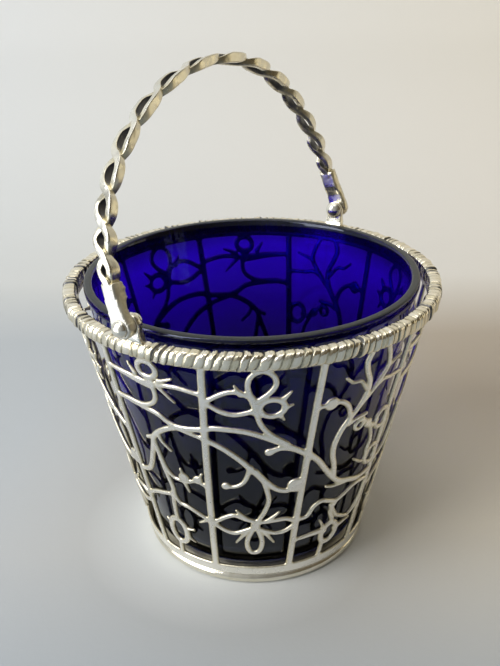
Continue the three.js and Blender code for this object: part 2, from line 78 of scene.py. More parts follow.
LINER_LOW = 3.9
LINER_TOP = 68.6

# The upright bars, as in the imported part
FRONT_TURN_DEG = -147
BAR_TOPS_DEG = [-49.2, -14.5, 19.5, 55, 91.5, 128, 164.5, 201, 237.5, 274]
BAR_FEET_DEG = [-51.5, -20, 15, 50.5, 87, 123.5, 160, 196.5, 233, 269.5]
BAY_DESIGNS = ["leaf", "vine", "bud", "leaf", "vine", "bud", "leaf", "vine", "bud", "vine"]
BAYS = len(BAR_TOPS_DEG)

# The drawing of each bay. A line has half its width in mm at its start and at its end, and then its
# points in hundredths of the bay's width and of the pierced height.
VINE_LINES = [
    (.7, .7, [(0, 73), (11, 74), (32, 73.5), (46, 72), (62, 69), (77, 65.7), (92, 61.6), (100, 59.3)]),
    (.6, .6, [(42, 88), (47, 81), (52, 75.7), (61, 71.3), (77, 66.5)]),
    (.75, .45, [(61, 63), (71.5, 64.5), (83, 63.4), (97.5, 60.4)]),
    (.7, .7, [(0, 68), (12, 65.7), (21, 63.4), (34, 59), (46.5, 53.7), (59, 48.4), (71, 44), (83, 42.3),
        (92, 43.7)]),
    (.6, .45, [(43.5, 55.5), (41, 51), (37, 47.5), (29, 45.4), (20, 45.2)]),
    (.6, .55, [(49, 53.7), (57.5, 48.4), (63, 42), (65, 37), (61.5, 31.7), (56, 27.3), (52, 24.6)]),
    (.6, .6, [(52, 26), (39, 27.8), (27.5, 29.4), (16, 27.6), (3, 23.8)]),
    (.6, .6, [(50, 22.6), (40, 20.8), (28, 19.2), (16.5, 20.25), (3, 23.5)]),
    (.6, .6, [(53, 25.5), (65, 26), (76.5, 26.4), (88, 26.4), (100, 24)]),
    (.6, .6, [(54, 22.2), (66, 20.25), (77, 19), (88.5, 19.7), (100, 22.6)]),
    (.6, .6, [(52, 24.3), (44, 16.5), (43, 12), (47, 8.5), (52, 7.8), (58, 8.7), (61, 12), (60, 16.5),
        (52, 24.3)]),
    (.25, .6, [(30, 32.2), (40.5, 27.8)]),
    (.25, .6, [(78, 30.8), (66, 26.4)]),
    (.25, .6, [(29.5, 13.6), (41.5, 20)]),
    (.25, .6, [(75.5, 13.6), (63, 20)]),
    (.6, .6, [(41.5, 88.5), (38, 93.3), (40, 97.7), (48.5, 100), (57.5, 98.2), (61, 94.2), (56, 90.3),
        (46, 86.8)]),
    (.6, .6, [(42, 88.5), (30, 91), (18, 90.3), (3, 86.3)]),
    (.6, .6, [(42.5, 82.4), (28, 81), (16, 82), (3.5, 85)]),
    (.6, .6, [(42.5, 82.4), (47, 81.5)]),
    (.25, .6, [(27, 93.8), (32.5, 90)]),
    (.25, .6, [(74.5, 90.3), (69, 87.7)]),
    (.25, .6, [(77.5, 84.5), (71, 83.6)]),
    (.25, .6, [(71.5, 78), (67, 80.5)]),
    (.6, .6, [(42, 88.5), (44, 86), (48, 85)]),
]
LEAF_LINES = [
    (1.1, .5, [(52, 89), (40, 89.5), (27, 90.3), (14, 90.8), (0, 91)]),
    (.25, .6, [(30, 96.3), (36, 92.4)]),
    (.6, .55, [(59, 89.8), (70, 90.3), (80, 90.3), (100, 88.7)]),
    (.25, .55, [(73.5, 93.8), (60, 91.5)]),
    (.25, .55, [(73.5, 83.3), (60, 88.6)]),
    (.6, .55, [(53, 89), (54, 83.6), (49, 80.3), (37.5, 78.2), (20, 77.6)]),
    (.7, .7, [(0, 77.3), (17, 78), (35, 77.1), (52.5, 75.7), (64.5, 72.7), (76.5, 71.65), (100, 72.7)]),
    (.55, .55, [(73.5, 71), (88, 69.5), (100, 68)]),
    (.7, .7, [(69, 71), (59, 69.2), (47.5, 66), (40, 62.5), (36.5, 58), (31, 52), (24, 45.8), (15, 42.25),
        (0, 40.5)]),
    (.25, .55, [(41.5, 63.7), (31.5, 61.6)]),
    (.5, .4, [(47.5, 65), (50.5, 62), (60, 58.6)]),
    (.6, .6, [(39.5, 60), (43, 53), (46.5, 45.8), (51, 38.7), (50.5, 34.3), (41.5, 33), (26.5, 31.3),
        (14.5, 29.6), (0, 26.4)]),
    (.5, .5, [(43, 52), (49.5, 47), (58.5, 44), (73.5, 43.8), (86, 45.4), (100, 43)]),
    (.5, .25, [(70.5, 45.8), (67.5, 50)]),
    (.5, .25, [(70.5, 43.1), (75, 38.4)]),
    (.5, .25, [(89, 46.7), (93, 49.8)]),
    (.6, .55, [(50.5, 34.3), (57.5, 30.5), (70, 29.2), (80.5, 27.6), (100, 24)]),
    (.25, .5, [(83.5, 22), (96, 24.6)]),
    (.6, .55, [(50, 35), (47.5, 28), (46.5, 20.25), (46, 19)]),
    (.25, .5, [(72, 15.8), (59, 15)]),
    (.25, .5, [(70, 8.5), (58, 10.6)]),
    (.25, .5, [(26, 16.7), (34, 15)]),
    (.6, .6, [(42, 5.3), (40, -1)]),
]
BUD_LINES = [
    (.6, .6, [(0, 81), (7, 81.3), (14, 81.5), (23.5, 81.3), (32.5, 78.3), (37, 74), (38.5, 69.5)]),
    (.7, .7, [(45.5, 101), (42, 96), (45, 91.5), (51, 86.3), (51.5, 81.5), (47, 76.6), (38.5, 71.8),
        (31.5, 67), (27.5, 60.7), (28.5, 55.5), (33, 50), (36, 44)]),
    (.6, .6, [(62, 101), (69, 95), (71.5, 90), (66.5, 86), (57.5, 81), (48, 77)]),
    (.5, .25, [(71.5, 89.8), (88.5, 92.4)]),
    (.35, .5, [(24, 91.2), (31.5, 88.6), (40, 88), (49, 83.6)]),
    (.5, .5, [(60.5, 82.7), (70, 84.3), (80, 83.6), (100, 83.3)]),
    (.6, .5, [(38, 69), (47.5, 70.4), (58.5, 70.8)]),
    (.5, .5, [(56, 69), (66.5, 65), (74, 60.7), (80, 54.5), (78.5, 49.3), (82, 47)]),
    (.8, .4, [(68, 64), (76.5, 62.5), (83, 63.4)]),
    (.25, .5, [(60, 48.4), (73, 45), (82, 45.5)]),
    (.7, .7, [(0, 60), (12.5, 55), (22, 50), (34, 44), (45.5, 40), (60, 38), (77, 36), (100, 37)]),
    (.4, .5, [(30, 39.3), (40, 38.2), (57, 37.9)]),
    (.6, .6, [(0, 25), (12.5, 25.5), (19, 30), (28.5, 31.7), (38.5, 30.3), (50, 28.9), (61, 30.6),
        (75, 33.1), (100, 32)]),
    (.5, .9, [(0, 12.7), (18.5, 13.6), (36.5, 13.7), (42, 13)]),
    (.25, .5, [(32.5, 20.25), (42, 14.5)]),
    (.7, .35, [(60, 11.8), (72, 13), (83, 13.7)]),
    (.6, .6, [(51, 16.5), (51, 18.5), (45, 23.8), (49.5, 28.7)]),
    (.6, .6, [(44, 6), (43, -1)]),
    (.5, .5, [(46, 25.5), (56, 20), (65.5, 17.6), (79, 15.8), (93, 19.4), (99, 28)]),
]
BAY_LINES = {"vine": VINE_LINES, "leaf": LEAF_LINES, "bud": BUD_LINES}
# Rings: middle in hundredths, then half width, half height and stroke in mm. Dots: middle, then radius.
BAY_RINGS = {
    "vine": [(60, 83.8, 2.5, 2.15, 1.35)],
    "leaf": [(50, 95.8, 2.2, 2.0, 1.35), (45, 12.3, 2.3, 3.9, 1.55)],
    "bud": [(51, 11, 2.1, 3.0, 1.45), (53, 66.5, 1.15, 1.15, 1.0), (89, 63.4, 2.1, 2.5, 1.3),
        (90, 45.8, 2.1, 2.5, 1.3)],
}
BAY_DOTS = {
    "vine": [(93, 44.5, 2.05), (19, 45.4, 1.0), (61, 63, .95), (52, 24.3, 1.1)],
    "leaf": [(70.5, 45.8, 1.3), (87.5, 46.3, 1.1), (52, 90, 1.15)],
    "bud": [(14, 81.5, 1.6), (66.5, 65, 1.2), (45.5, 27, .9)],
}


# Helpers for shapes

FAR_OUTSIDE = 9.0
LINE_STEPS = 8
TINY = 1e-9
# How a cut sheet's edge is moved, in cells, and rounded, in shares of its radius or in mm
BORDER_LIMIT = 0.75
RING_LIMIT = 0.42
RING_REACH_SHARE = 1.15
RING_DEPTH_SHARE = 0.9
CROWN_REACH = 0.8
CROWN_POWER = 1.5
EDGE_MARK_REACH = 0.5
INNER_MARK = 0.15


def limited(value):
    """A value held between 0 and 1."""
    return np.clip(value, 0, 1)


def mesh_object(name, points, faces, tarnish_and_painted_shade=None):
    """A smooth mesh from points in millimetres, with how tarnished each point is and how much shade is
    painted on it.
    """
    mesh = bpy.data.meshes.new(name)
    points = np.asarray(points, float) * MM
    faces = [tuple(int(i) for i in face) for face in faces]
    mesh.from_pydata(points.tolist(), [], faces)
    mesh.update()
    mesh.polygons.foreach_set("use_smooth", [True] * len(mesh.polygons))
    if tarnish_and_painted_shade is not None:
        layer = mesh.attributes.new("tarnish_and_painted_shade", "FLOAT", "POINT")
        layer.data.foreach_set("value", np.asarray(tarnish_and_painted_shade, np.float32))
    piece = bpy.data.objects.new(name, mesh)
    bpy.context.scene.collection.objects.link(piece)
    return piece


def solid_mesh(name, points, faces, tarnish_and_painted_shade):
    """A closed mesh with its doubled points joined and its faces turned outward."""
    piece = mesh_object(name, points, faces, tarnish_and_painted_shade)
    mesh = bmesh.new()
    mesh.from_mesh(piece.data)
    bmesh.ops.remove_doubles(mesh, verts=mesh.verts, dist=1e-7)
    bmesh.ops.dissolve_degenerate(mesh, edges=mesh.edges, dist=1e-8)
    bmesh.ops.recalc_face_normals(mesh, faces=mesh.faces)
    mesh.to_mesh(piece.data)
    mesh.free()
    return piece


def grid_faces(columns, rows, ring=False, tube=False):
    """The faces between points that lie column by column.

    ring joins the last column to the first one, and tube joins the last row to the first one.
    """
    faces = []
    for i in range(columns if ring else columns - 1):
        p = i * rows
        q = (i + 1) % columns * rows
        for k in range(rows if tube else rows - 1):
            above = (k + 1) % rows
            faces.append((p + k, q + k, q + above, p + above))
    return faces


def closed_tube_faces(columns, rows):
    """The faces of a tube and of its two ends."""
    near_end = tuple(range(rows))
    far_end = tuple(reversed(range((columns - 1) * rows, columns * rows)))
    return grid_faces(columns, rows, tube=True) + [near_end, far_end]


def lathe(name, profile, steps, tarnish_and_painted_shade):
    """A closed profile of (radius, height) turned about the pail's axis."""
    profile = np.array(profile, float)
    radius, height = profile.T
    points = []
    for turn in np.linspace(0, math.tau, steps, endpoint=False):
        points.append(np.stack([radius * math.cos(turn), radius * math.sin(turn), height], 1))
    points = np.vstack(points)
    faces = grid_faces(steps, len(profile), ring=True)
    return solid_mesh(name, points, faces, np.full(len(points), tarnish_and_painted_shade))


def rounded_square(radius, steps):
    """A square from -1 to 1 with its corners rounded."""
    outline = []
    corners = np.array([(-1, -1), (1, -1), (1, 1), (-1, 1)], float)
    for i, corner in enumerate(corners):
        start = corner + (corners[i - 1] - corner) / 2 * radius
        end = corner + (corners[(i + 1) % 4] - corner) / 2 * radius
        for t in np.linspace(0, 1, steps + 1):
            outline.append((1 - t) ** 2 * start + 2 * t * (1 - t) * corner + t * t * end)
    return np.array(outline)


def smooth_line(points):
    """A smooth curve through a few points."""
    p = np.array(points, float)
    if len(p) == 2:
        return p
    ends = np.vstack([2 * p[0] - p[1], p, 2 * p[-1] - p[-2]])
    t = np.linspace(0, 1, LINE_STEPS, endpoint=False)[:, None]
    parts = []
    for i in range(len(p) - 1):
        a, b, c, d = ends[i:i + 4]
        parts.append(0.5 * (2 * b + (c - a) * t + (2 * a - 5 * b + 4 * c - d) * t ** 2
                            + (3 * b - a - 3 * c + d) * t ** 3))
    return np.vstack(parts + [p[-1:]])


def stroke_distance(x, y, line, half_start, half_end):
    """How far places lie outside a stroke whose half width runs from one value to another."""
    best = np.full(x.shape, FAR_OUTSIDE)
    runs = np.hypot(*np.diff(line, axis=0).T)
    along = np.concatenate([[0], np.cumsum(runs)]) / max(runs.sum(), TINY)
    for i in range(len(line) - 1):
        ax, ay = line[i]
        dx, dy = line[i + 1] - line[i]
        t = limited(((x - ax) * dx + (y - ay) * dy) / max(dx * dx + dy * dy, TINY))
        half = half_start + (half_end - half_start) * (along[i] + (along[i + 1] - along[i]) * t)
        best = np.minimum(best, np.hypot(x - ax - t * dx, y - ay - t * dy) - half)
    return best


def join_smooth(a, b, fillet):
    """The union of two distances, with a small fillet where they meet."""
    overlap = np.maximum(fillet - np.abs(a - b), 0) / fillet
    return np.minimum(a, b) - overlap * overlap * fillet / 4


def cells_round_corners(active, shape):
    """How many of the cells round each grid corner hold silver."""
    count = np.zeros(shape, int)
    for right in (0, 1):
        for above in (0, 1):
            rows = (np.arange(active.shape[0]) + right) % shape[0]
            columns = np.arange(active.shape[1]) + above
            np.add.at(count, (rows[:, None], columns[None, :]), active.astype(int))
    return count


def edge_moves(sdf, border, buried, across_mm, up_mm, edge, closed):
    """How many cells each corner moves to lie on the silver's edge, and how deep inside it then lies."""
    slope_u = (np.roll(sdf, -1, 0) - np.roll(sdf, 1, 0)) / 2
    if not closed:
        slope_u[0], slope_u[-1] = sdf[1] - sdf[0], sdf[-1] - sdf[-2]
    slope_v = np.gradient(sdf, axis=1)
    steepness = (slope_u / across_mm) ** 2 + (slope_v / up_mm) ** 2 + 1e-6
    near = border.copy()
    for shift in ((1, 0), (-1, 0), (0, 1), (0, -1)):
        near |= np.roll(border, shift, (0, 1))
    ring = near & buried
    move = np.where(border, -sdf, np.where(ring, -edge * RING_REACH_SHARE - sdf, 0.0))
    limit = np.where(border, BORDER_LIMIT, RING_LIMIT)
    move_u = np.clip(move * slope_u / steepness / across_mm ** 2, -limit, limit)
    move_v = np.clip(move * slope_v / steepness / up_mm ** 2, -limit, limit)
    if not closed:
        move_u[0], move_u[-1] = 0, 0
    move_v[:, 0], move_v[:, -1] = 0, 0
    inside = np.where(border, 0, np.maximum(-sdf, edge * RING_DEPTH_SHARE * ring))
    return move_u, move_v, inside


def sheet_faces(active, index, count, closed):
    """The front, back and side faces of the cells that hold silver. Back points lie count further on."""
    cells_u, cells_v = active.shape
    i, j = np.nonzero(active)
    right = (i + 1) % index.shape[0]
    a, b, c, d = index[i, j], index[right, j], index[right, j + 1], index[i, j + 1]
    faces = [np.stack([a, b, c, d], 1), np.stack([d, c, b, a], 1) + count]
    for step_u, step_v, p, q in ((0, -1, a, b), (1, 0, b, c), (0, 1, c, d), (-1, 0, d, a)):
        beside_u, beside_v = i + step_u, j + step_v
        outside = (beside_v < 0) | (beside_v >= cells_v)
        if closed:
            beside_u = beside_u % cells_u
        else:
            outside |= (beside_u < 0) | (beside_u >= cells_u)
        at = outside | ~active[np.clip(beside_u, 0, cells_u - 1), np.clip(beside_v, 0, cells_v - 1)]
        faces.append(np.stack([q[at], p[at], p[at] + count, q[at] + count], 1))
    return np.vstack(faces)


def cut_sheet(name, sdf, across_mm, up_mm, place, thickness, edge=0.22, crown=0.05,
              closed=False, flip=False, side_tarnish=0.35):
    """A sheet cut out where sdf is positive, with rounded edges.

    sdf has a value in mm at each grid corner. A grid cell is across_mm by up_mm in size, and
    place(i, j, depth) puts a grid place at a depth below the outer face.
    """
    full = np.concatenate([sdf, sdf[:1]]) if closed else sdf
    active = (full[:-1, :-1] + full[1:, :-1] + full[:-1, 1:] + full[1:, 1:]) / 4 < 0
    around = cells_round_corners(active, sdf.shape)
    border = (around > 0) & (around < 4)
    move_u, move_v, inside = edge_moves(sdf, border, around == 4, across_mm, up_mm, edge, closed)
    used = np.nonzero(around > 0)
    index = np.full(sdf.shape, -1)
    index[used] = np.arange(len(used[0]))
    inside = inside[used]
    depth = edge * limited(1 - inside / edge) + crown * limited(1 - inside / CROWN_REACH) ** CROWN_POWER
    i, j = used[0] + move_u[used], used[1] + move_v[used]
    points = np.vstack([place(i, j, depth), place(i, j, thickness - depth)])
    faces = sheet_faces(active, index, len(used[0]), closed)
    if flip:
        faces = faces[:, ::-1]
    mark = limited(1 - inside / EDGE_MARK_REACH) * side_tarnish
    return mesh_object(name, points, faces, np.concatenate([mark, mark + INNER_MARK]))


# Materials

# Each texture: how many patches lie on a metre, how fine its detail is, and its stretch
CLOUDS = (260, 4)
FINE_CLOUDS = (1500, 3)
DENTS = (210, 2)
SCRATCHES = (1900, 2, (1, 1, 0.25))
GRAIN = (2200, 3)
STREAKS = (30, 2, (1, 1, 0.3))
WAVES = (60, 2, (1, 1, 0.4))
# Raised ones have a strength and a depth in metres
DENT_DEPTH = 0.0012
SCRATCH_BUMP = (0.08, 0.0002)
WAVE_BUMP = (0.05, 0.001)
STREAK_SHARE = 0.12
# Where the clouds of the silver turn from dull to bright
DULL_BELOW = 0.35
BRIGHT_ABOVE = 0.62
# Tarnish and painted shade turn silver yellow and then dark
TARNISH_AND_PAINTED_SHADE_YELLOW = (0.74, 0.67, 0.47)
TARNISH_AND_PAINTED_SHADE_DARK = (0.13, 0.13, 0.135)
YELLOW_GAIN = 2.6
DARK_START = 0.28
DARK_GAIN = 1.6
PATCHY_BASE = 0.55
TARNISH_ROUGHNESS = 0.25
# The glass's colour, from its thick foot up to its rim, with painted shade: near black low down and darker
# again at the very rim, where the silver band and rope stand behind it
GLASS_HEIGHT_SCALE = 14.0
GLASS_COLOURS_WITH_PAINTED_SHADE = [
    (0.22, (0.012, 0.016, 0.05)), (0.48, (0.012, 0.007, 0.09)), (0.72, (0.013, 0.001, 0.31)),
    (0.92, (0.02, 0.001, 0.58)), (1.0, (0.008, 0.002, 0.14)),
]
RIM_COLOURS = [(0.3, (0.012, 0.014, 0.016)), (0.7, (0.032, 0.036, 0.035))]


def set_inputs(node, values):
    """Sets the named inputs of a node."""
    for name, value in values.items():
        node.inputs[name].default_value = value


class Graph:
    """The nodes of a material or of the room, with short ways to make the usual ones."""

    def __init__(self, tree):
        self.nodes = tree.nodes
        self.links = tree.links

    def new(self, kind):
        return self.nodes.new("ShaderNode" + kind)

    def feed(self, socket, value):
        """Gives a socket a value: another node's output, a colour or a number."""
        if isinstance(value, tuple):
            socket.default_value = (*value, 1)
        elif isinstance(value, (int, float)):
            socket.default_value = value
        else:
            self.links.new(value, socket)

    def noise(self, scale, detail, stretch=(1, 1, 1)):
        """Cloudy noise over the piece, drawn out along an axis where stretch is small."""
        mapping = self.new("Mapping")
        texture = self.new("TexNoise")
        set_inputs(mapping, {"Scale": stretch})
        set_inputs(texture, {"Scale": scale, "Detail": detail})
        self.feed(mapping.inputs["Vector"], self.new("TexCoord").outputs["Object"])
        self.feed(texture.inputs["Vector"], mapping.outputs["Vector"])
        return texture.outputs["Fac"]

    def ramp(self, source, stops):
        """A colour that follows a value through (place, colour) stops."""
        made = self.new("ValToRGB")
        colours = made.color_ramp.elements
        for element, (at, colour) in zip((colours[0], colours[1]), (stops[0], stops[-1])):
            element.position = at
            element.color = (*colour, 1)
        for at, colour in stops[1:-1]:
            colours.new(at).color = (*colour, 1)
        self.feed(made.inputs["Fac"], source)
        return made.outputs["Color"]

    def mixed(self, share, a, b):
        """Colour a where share is 0 and colour b where it is 1."""
        mix = self.new("Mix")
        mix.data_type = "RGBA"
        self.feed(mix.inputs["Factor"], share)
        self.feed(mix.inputs[6], a)
        self.feed(mix.inputs[7], b)
        return mix.outputs[2]

    def maths(self, kind, a, b, clamp=False):
        """A sum, difference or product of two values."""
        node = self.new("Math")
        node.operation = kind
        node.use_clamp = clamp
        self.feed(node.inputs[0], a)
        self.feed(node.inputs[1], b)
        return node.outputs[0]

    def scaled(self, value, factor, offset):
        """A value times a factor, plus an offset."""
        return self.maths("ADD", self.maths("MULTIPLY", value, factor), offset)

    def bumped(self, height, strength, distance, under=None):
        """The normal of a bump, laid over another one where there is one."""
        bump = self.new("Bump")
        set_inputs(bump, {"Strength": strength, "Distance": distance})
        self.feed(bump.inputs["Height"], height)
        if under is not None:
            self.feed(bump.inputs["Normal"], under)
        return bump.outputs["Normal"]


def shader(name, settings):
    """A new material, with its graph and the inputs of its surface, some of them set."""
    material = bpy.data.materials.new(name)
    material.use_nodes = True
    surface = material.node_tree.nodes["Principled BSDF"]
    set_inputs(surface, settings)
    return material, Graph(material.node_tree), surface.inputs


def silver(name, bright, dull, rough, dents):
    """Old polished silver: cloudy, a little dented, yellow and then dark where it is tarnished and where
    shade is painted on it.
    """
    material, graph, surface = shader(name, {"Metallic": 1})
    cloud = graph.noise(*CLOUDS)
    mark = graph.new("Attribute")
    mark.attribute_name = "tarnish_and_painted_shade"
    uneven = graph.maths("ADD", graph.noise(*FINE_CLOUDS), PATCHY_BASE)
    patchy = graph.maths("MULTIPLY", mark.outputs["Fac"], uneven, True)
    yellow = graph.maths("MULTIPLY", patchy, YELLOW_GAIN, True)
    deeper = graph.maths("SUBTRACT", patchy, DARK_START)
    dark = graph.maths("MULTIPLY", deeper, DARK_GAIN, True)
    base = graph.ramp(cloud, [(DULL_BELOW, dull), (BRIGHT_ABOVE, bright)])
    warm = graph.mixed(yellow, base, TARNISH_AND_PAINTED_SHADE_YELLOW)
    graph.feed(surface["Base Color"], graph.mixed(dark, warm, TARNISH_AND_PAINTED_SHADE_DARK))
    spread = graph.new("MapRange")
    set_inputs(spread, {"From Min": 0.3, "From Max": 0.7, "To Min": rough[0], "To Max": rough[1]})
    graph.feed(spread.inputs["Value"], cloud)
    graph.feed(surface["Roughness"], graph.scaled(patchy, TARNISH_ROUGHNESS, spread.outputs["Result"]))
    dented = graph.bumped(graph.noise(*DENTS), dents, DENT_DEPTH)
    graph.feed(surface["Normal"], graph.bumped(graph.noise(*SCRATCHES), *SCRATCH_BUMP, dented))
    return material


def blue_glass():
    """Cobalt glass with painted shade: strong near the rim, darker again at the very rim and nearly black
    towards its thick foot.
    """
    material, graph, surface = shader("blue_glass", {
        "Roughness": 0.012, "IOR": 1.5, "Transmission Weight": 1, "Specular IOR Level": 0.5,
        "Specular Tint": (0.78, 0.84, 1, 1)})
    parts = graph.new("SeparateXYZ")
    graph.feed(parts.inputs["Vector"], graph.new("TexCoord").outputs["Object"])
    streaky = graph.maths("MULTIPLY", graph.noise(*STREAKS), STREAK_SHARE)
    height = graph.scaled(parts.outputs["Z"], GLASS_HEIGHT_SCALE, streaky)
    graph.feed(surface["Base Color"], graph.ramp(height, GLASS_COLOURS_WITH_PAINTED_SHADE))
    graph.feed(surface["Normal"], graph.bumped(graph.noise(*WAVES), *WAVE_BUMP))
    return material


def ground_rim():
    """The flat top of the glass, ground dull and nearly black."""
    settings = {"Roughness": 0.3, "IOR": 1.5, "Specular IOR Level": 0.25}
    material, graph, surface = shader("ground_rim", settings)
    graph.feed(surface["Base Color"], graph.ramp(graph.noise(*GRAIN), RIM_COLOURS))
    return material


# Each silver has its bright and its dull colour, its least and greatest roughness and its dents
SILVER_WALL = silver("silver_wall", (0.985, 0.955, 0.89), (0.93, 0.90, 0.82), (0.18, 0.38), 0.2)
SILVER_ROPE = silver("silver_rope", (0.97, 0.92, 0.81), (0.88, 0.815, 0.67), (0.07, 0.18), 0.3)
SILVER_HANDLE = silver("silver_handle", (0.87, 0.86, 0.81), (0.72, 0.70, 0.635), (0.13, 0.3), 0.5)
SILVER_TONGUE = silver("silver_tongue", (0.78, 0.775, 0.745), (0.55, 0.545, 0.515), (0.32, 0.56), 0.7)
SILVER_FOOT = silver("silver_foot", (0.89, 0.855, 0.76), (0.79, 0.75, 0.63), (0.07, 0.18), 0.15)
SILVER_DULL = silver("silver_base", (0.44, 0.43, 0.41), (0.32, 0.31, 0.29), (0.3, 0.48), 0.15)


# The pierced wall

ACROSS_CELLS = 84
UP_CELLS = 240
SEEN_FOOT_Z = WALL_FOOT_Z + 0.65
SEEN_TOP_Z = WALL_TOP_Z + 0.5
WALL_RISE = WALL_TOP_Z - WALL_FOOT_Z
WALL_FLARE = WALL_TOP_RADIUS - WALL_FOOT_RADIUS
SLANT = math.hypot(WALL_RISE, WALL_FLARE) / WALL_RISE
LOWER_EDGE_DROP = 0.7
BAR_HALF = 0.8
LINE_FILLET = 0.45
BAND_FILLET = 0.6
# How far round a line its distance is worked out, and what a place has before any line is near
LINE_REACH = 1.6
NO_SILVER_NEAR = 6.0


def bar_turn(bar, up):
    """The turn of a bar in degrees, at a share of the pierced height."""
    tops = np.array(BAR_TOPS_DEG + [BAR_TOPS_DEG[0] + 360])
    feet = np.array(BAR_FEET_DEG + [BAR_FEET_DEG[0] + 360])
    return feet[bar] + (tops[bar] - feet[bar]) * up


def wall_radius(z):
    """The radius of the wall's outer face at a height."""
    return WALL_FOOT_RADIUS + WALL_FLARE * (z - WALL_FOOT_Z) / WALL_RISE


def ellipse_distance(x, y, middle_x, middle_y, half_width, half_height):
    """About how far places lie from an upright ellipse."""
    across, up = x - middle_x, y - middle_y
    size = np.hypot(across / half_width, up / half_height) + TINY
    slope = np.hypot(across / half_width ** 2, up / half_height ** 2) / size + TINY
    return np.abs((size - 1) / slope)


def bay_distance(bay, z):
    """How far each place of one bay lies outside its silver, on a grid of shares by heights."""
    up = (z - PIERCED_Z) / PIERCED_HEIGHT
    width = np.radians(bar_turn(bay + 1, up) - bar_turn(bay, up)) * wall_radius(z)
    share = np.arange(ACROSS_CELLS + 1) / ACROSS_CELLS
    x = (share[:, None] - 0.5) * width[None, :]
    y = np.broadcast_to((z - PIERCED_Z) * SLANT, x.shape)
    found = np.full(x.shape, NO_SILVER_NEAR)

    def flat(points):
        """Hundredths of the bay as places on the unrolled wall."""
        across, high = np.asarray(points, float).T / 100
        wide = np.interp(PIERCED_Z + high * PIERCED_HEIGHT, z, width)
        return np.stack([(across - 0.5) * wide, high * PIERCED_HEIGHT * SLANT], -1)

    def add(low, high, distance):
        """Joins a shape that lies between two corners to the silver."""
        near_x = (x > low[0] - LINE_REACH) & (x < high[0] + LINE_REACH)
        near_y = (y > low[1] - LINE_REACH) & (y < high[1] + LINE_REACH)
        i, j = np.nonzero(near_x & near_y)
        if len(i) == 0:
            return
        window = (slice(i.min(), i.max() + 1), slice(j.min(), j.max() + 1))
        found[window] = join_smooth(found[window], distance(x[window], y[window]), LINE_FILLET)

    design = BAY_DESIGNS[bay]
    for half_start, half_end, points in BAY_LINES[design]:
        line = flat(smooth_line(points))
        add(line.min(0) - half_start, line.max(0) + half_start,
            lambda px, py: stroke_distance(px, py, line, half_start, half_end))
    for across, high, half_width, half_height, stroke in BAY_RINGS[design]:
        middle = flat((across, high))
        reach = np.array([half_width, half_height])
        add(middle - reach, middle + reach,
            lambda px, py: ellipse_distance(px, py, *middle, half_width, half_height) - stroke / 2)
    for across, high, radius in BAY_DOTS[design]:
        middle = flat((across, high))
        add(middle - radius, middle + radius,
            lambda px, py: np.hypot(px - middle[0], py - middle[1]) - radius)
    half = width[None, :] / 2
    bars = np.minimum(np.abs(x + half), np.abs(x - half)) - BAR_HALF
    for band in (bars, y + LOWER_EDGE_DROP, PIERCED_HEIGHT * SLANT - y):
        found = join_smooth(found, band, BAND_FILLET)
    return np.maximum(found, np.maximum(SEEN_FOOT_Z - z, z - SEEN_TOP_Z) * SLANT)


def pierced_wall():
    """The whole wall, bay by bay, as one closed sheet."""
    z = np.linspace(SEEN_FOOT_Z, SEEN_TOP_Z, UP_CELLS + 1)
    sdf = np.vstack([bay_distance(bay, z)[:-1] for bay in range(BAYS)])
    seen_height = SEEN_TOP_Z - SEEN_FOOT_Z
    turns = BAYS * ACROSS_CELLS
    across_mm = math.tau * wall_radius(z) / turns
    up_mm = seen_height * SLANT / UP_CELLS

    def place(i, j, depth):
        height = SEEN_FOOT_Z + j / UP_CELLS * seen_height
        up = (height - PIERCED_Z) / PIERCED_HEIGHT
        i = np.mod(i, turns)
        bay = np.clip((i // ACROSS_CELLS).astype(int), 0, BAYS - 1)
        share = i / ACROSS_CELLS - bay
        turn = np.radians(bar_turn(bay, up) * (1 - share) + bar_turn(bay + 1, up) * share + FRONT_TURN_DEG)
        radius = wall_radius(height) - depth
        return np.stack([radius * np.cos(turn), radius * np.sin(turn), height], 1)

    return cut_sheet("wall", sdf, across_mm, up_mm, place, WALL_THICKNESS, closed=True)


wall = pierced_wall()
wall.data.materials.append(SILVER_WALL)
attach(wall, "pail")
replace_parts(wall, "pierced_wall")


# The rope-edged rim

ROPE_END_TURN = 0.003
ROPE_STEPS = 1680
ROPE_SIDES = 26
ROPE_BLUNTNESS = 0.6
ROPE_INSET = 0.19
ROPE_LIFT = 0.26
ROPE_WAVER = 0.02
ROPE_WAVER_RATE = 31
ROPE_LOBES = 150
# Waves round the rim, each with its height, its rate and its start
LOBE_DRIFT = [(1.1, 7.3, 0.4), (0.9, 17.1, 1), (0.4, 41, 0)]
LOBE_DEPTH = [(0.35, 11.7, 2), (0.3, 29, 0)]
DEPTH_MIDDLE = 0.95
DEPTH_LEAST = 0.6
DEPTH_MOST = 1.35
LEAN_MIDDLE = 1.8
LEAN_SWING = 1.3
LEAN_TURN = 3.6
# One lobe: its crown, the groove between two, its own tilt and height, and fine ridges along it
LOBE_CROWN = 0.42
LOBE_TILT = 0.4
LOBE_UNEVEN = 0.06
GROOVE_DEPTH = 0.09
GROOVE_SHARPNESS = 6
RIDGES = 3
RIDGE_DRIFT = 1.7
RIDGE_DEPTH = 0.022
# How fast the tilt, the height, the ridges and the marks vary from lobe to lobe
TILT_RATE = 5.3
UNEVEN_RATE = 2.9
RIDGE_RATE = 2.1
MARK_RATE = 3.7
# How tarnished the rope is all over, in grooves, on some lobes and on ridges, and how much darker and
# yellower the far side of each lobe is made
ROPE_MARKS = (0.02, 0.72, 0.2, 0.9, 0.09)
# How much darker the wire is made on its underside
BELOW_MARK = 0.12
# The lobes are worn near the ears, and the wire's very ends are a little slimmer
WORN_SHARE = 0.15
WORN_REACH = 5
END_SLIMMING = 0.12
SLIMMING_REACH = 0.4


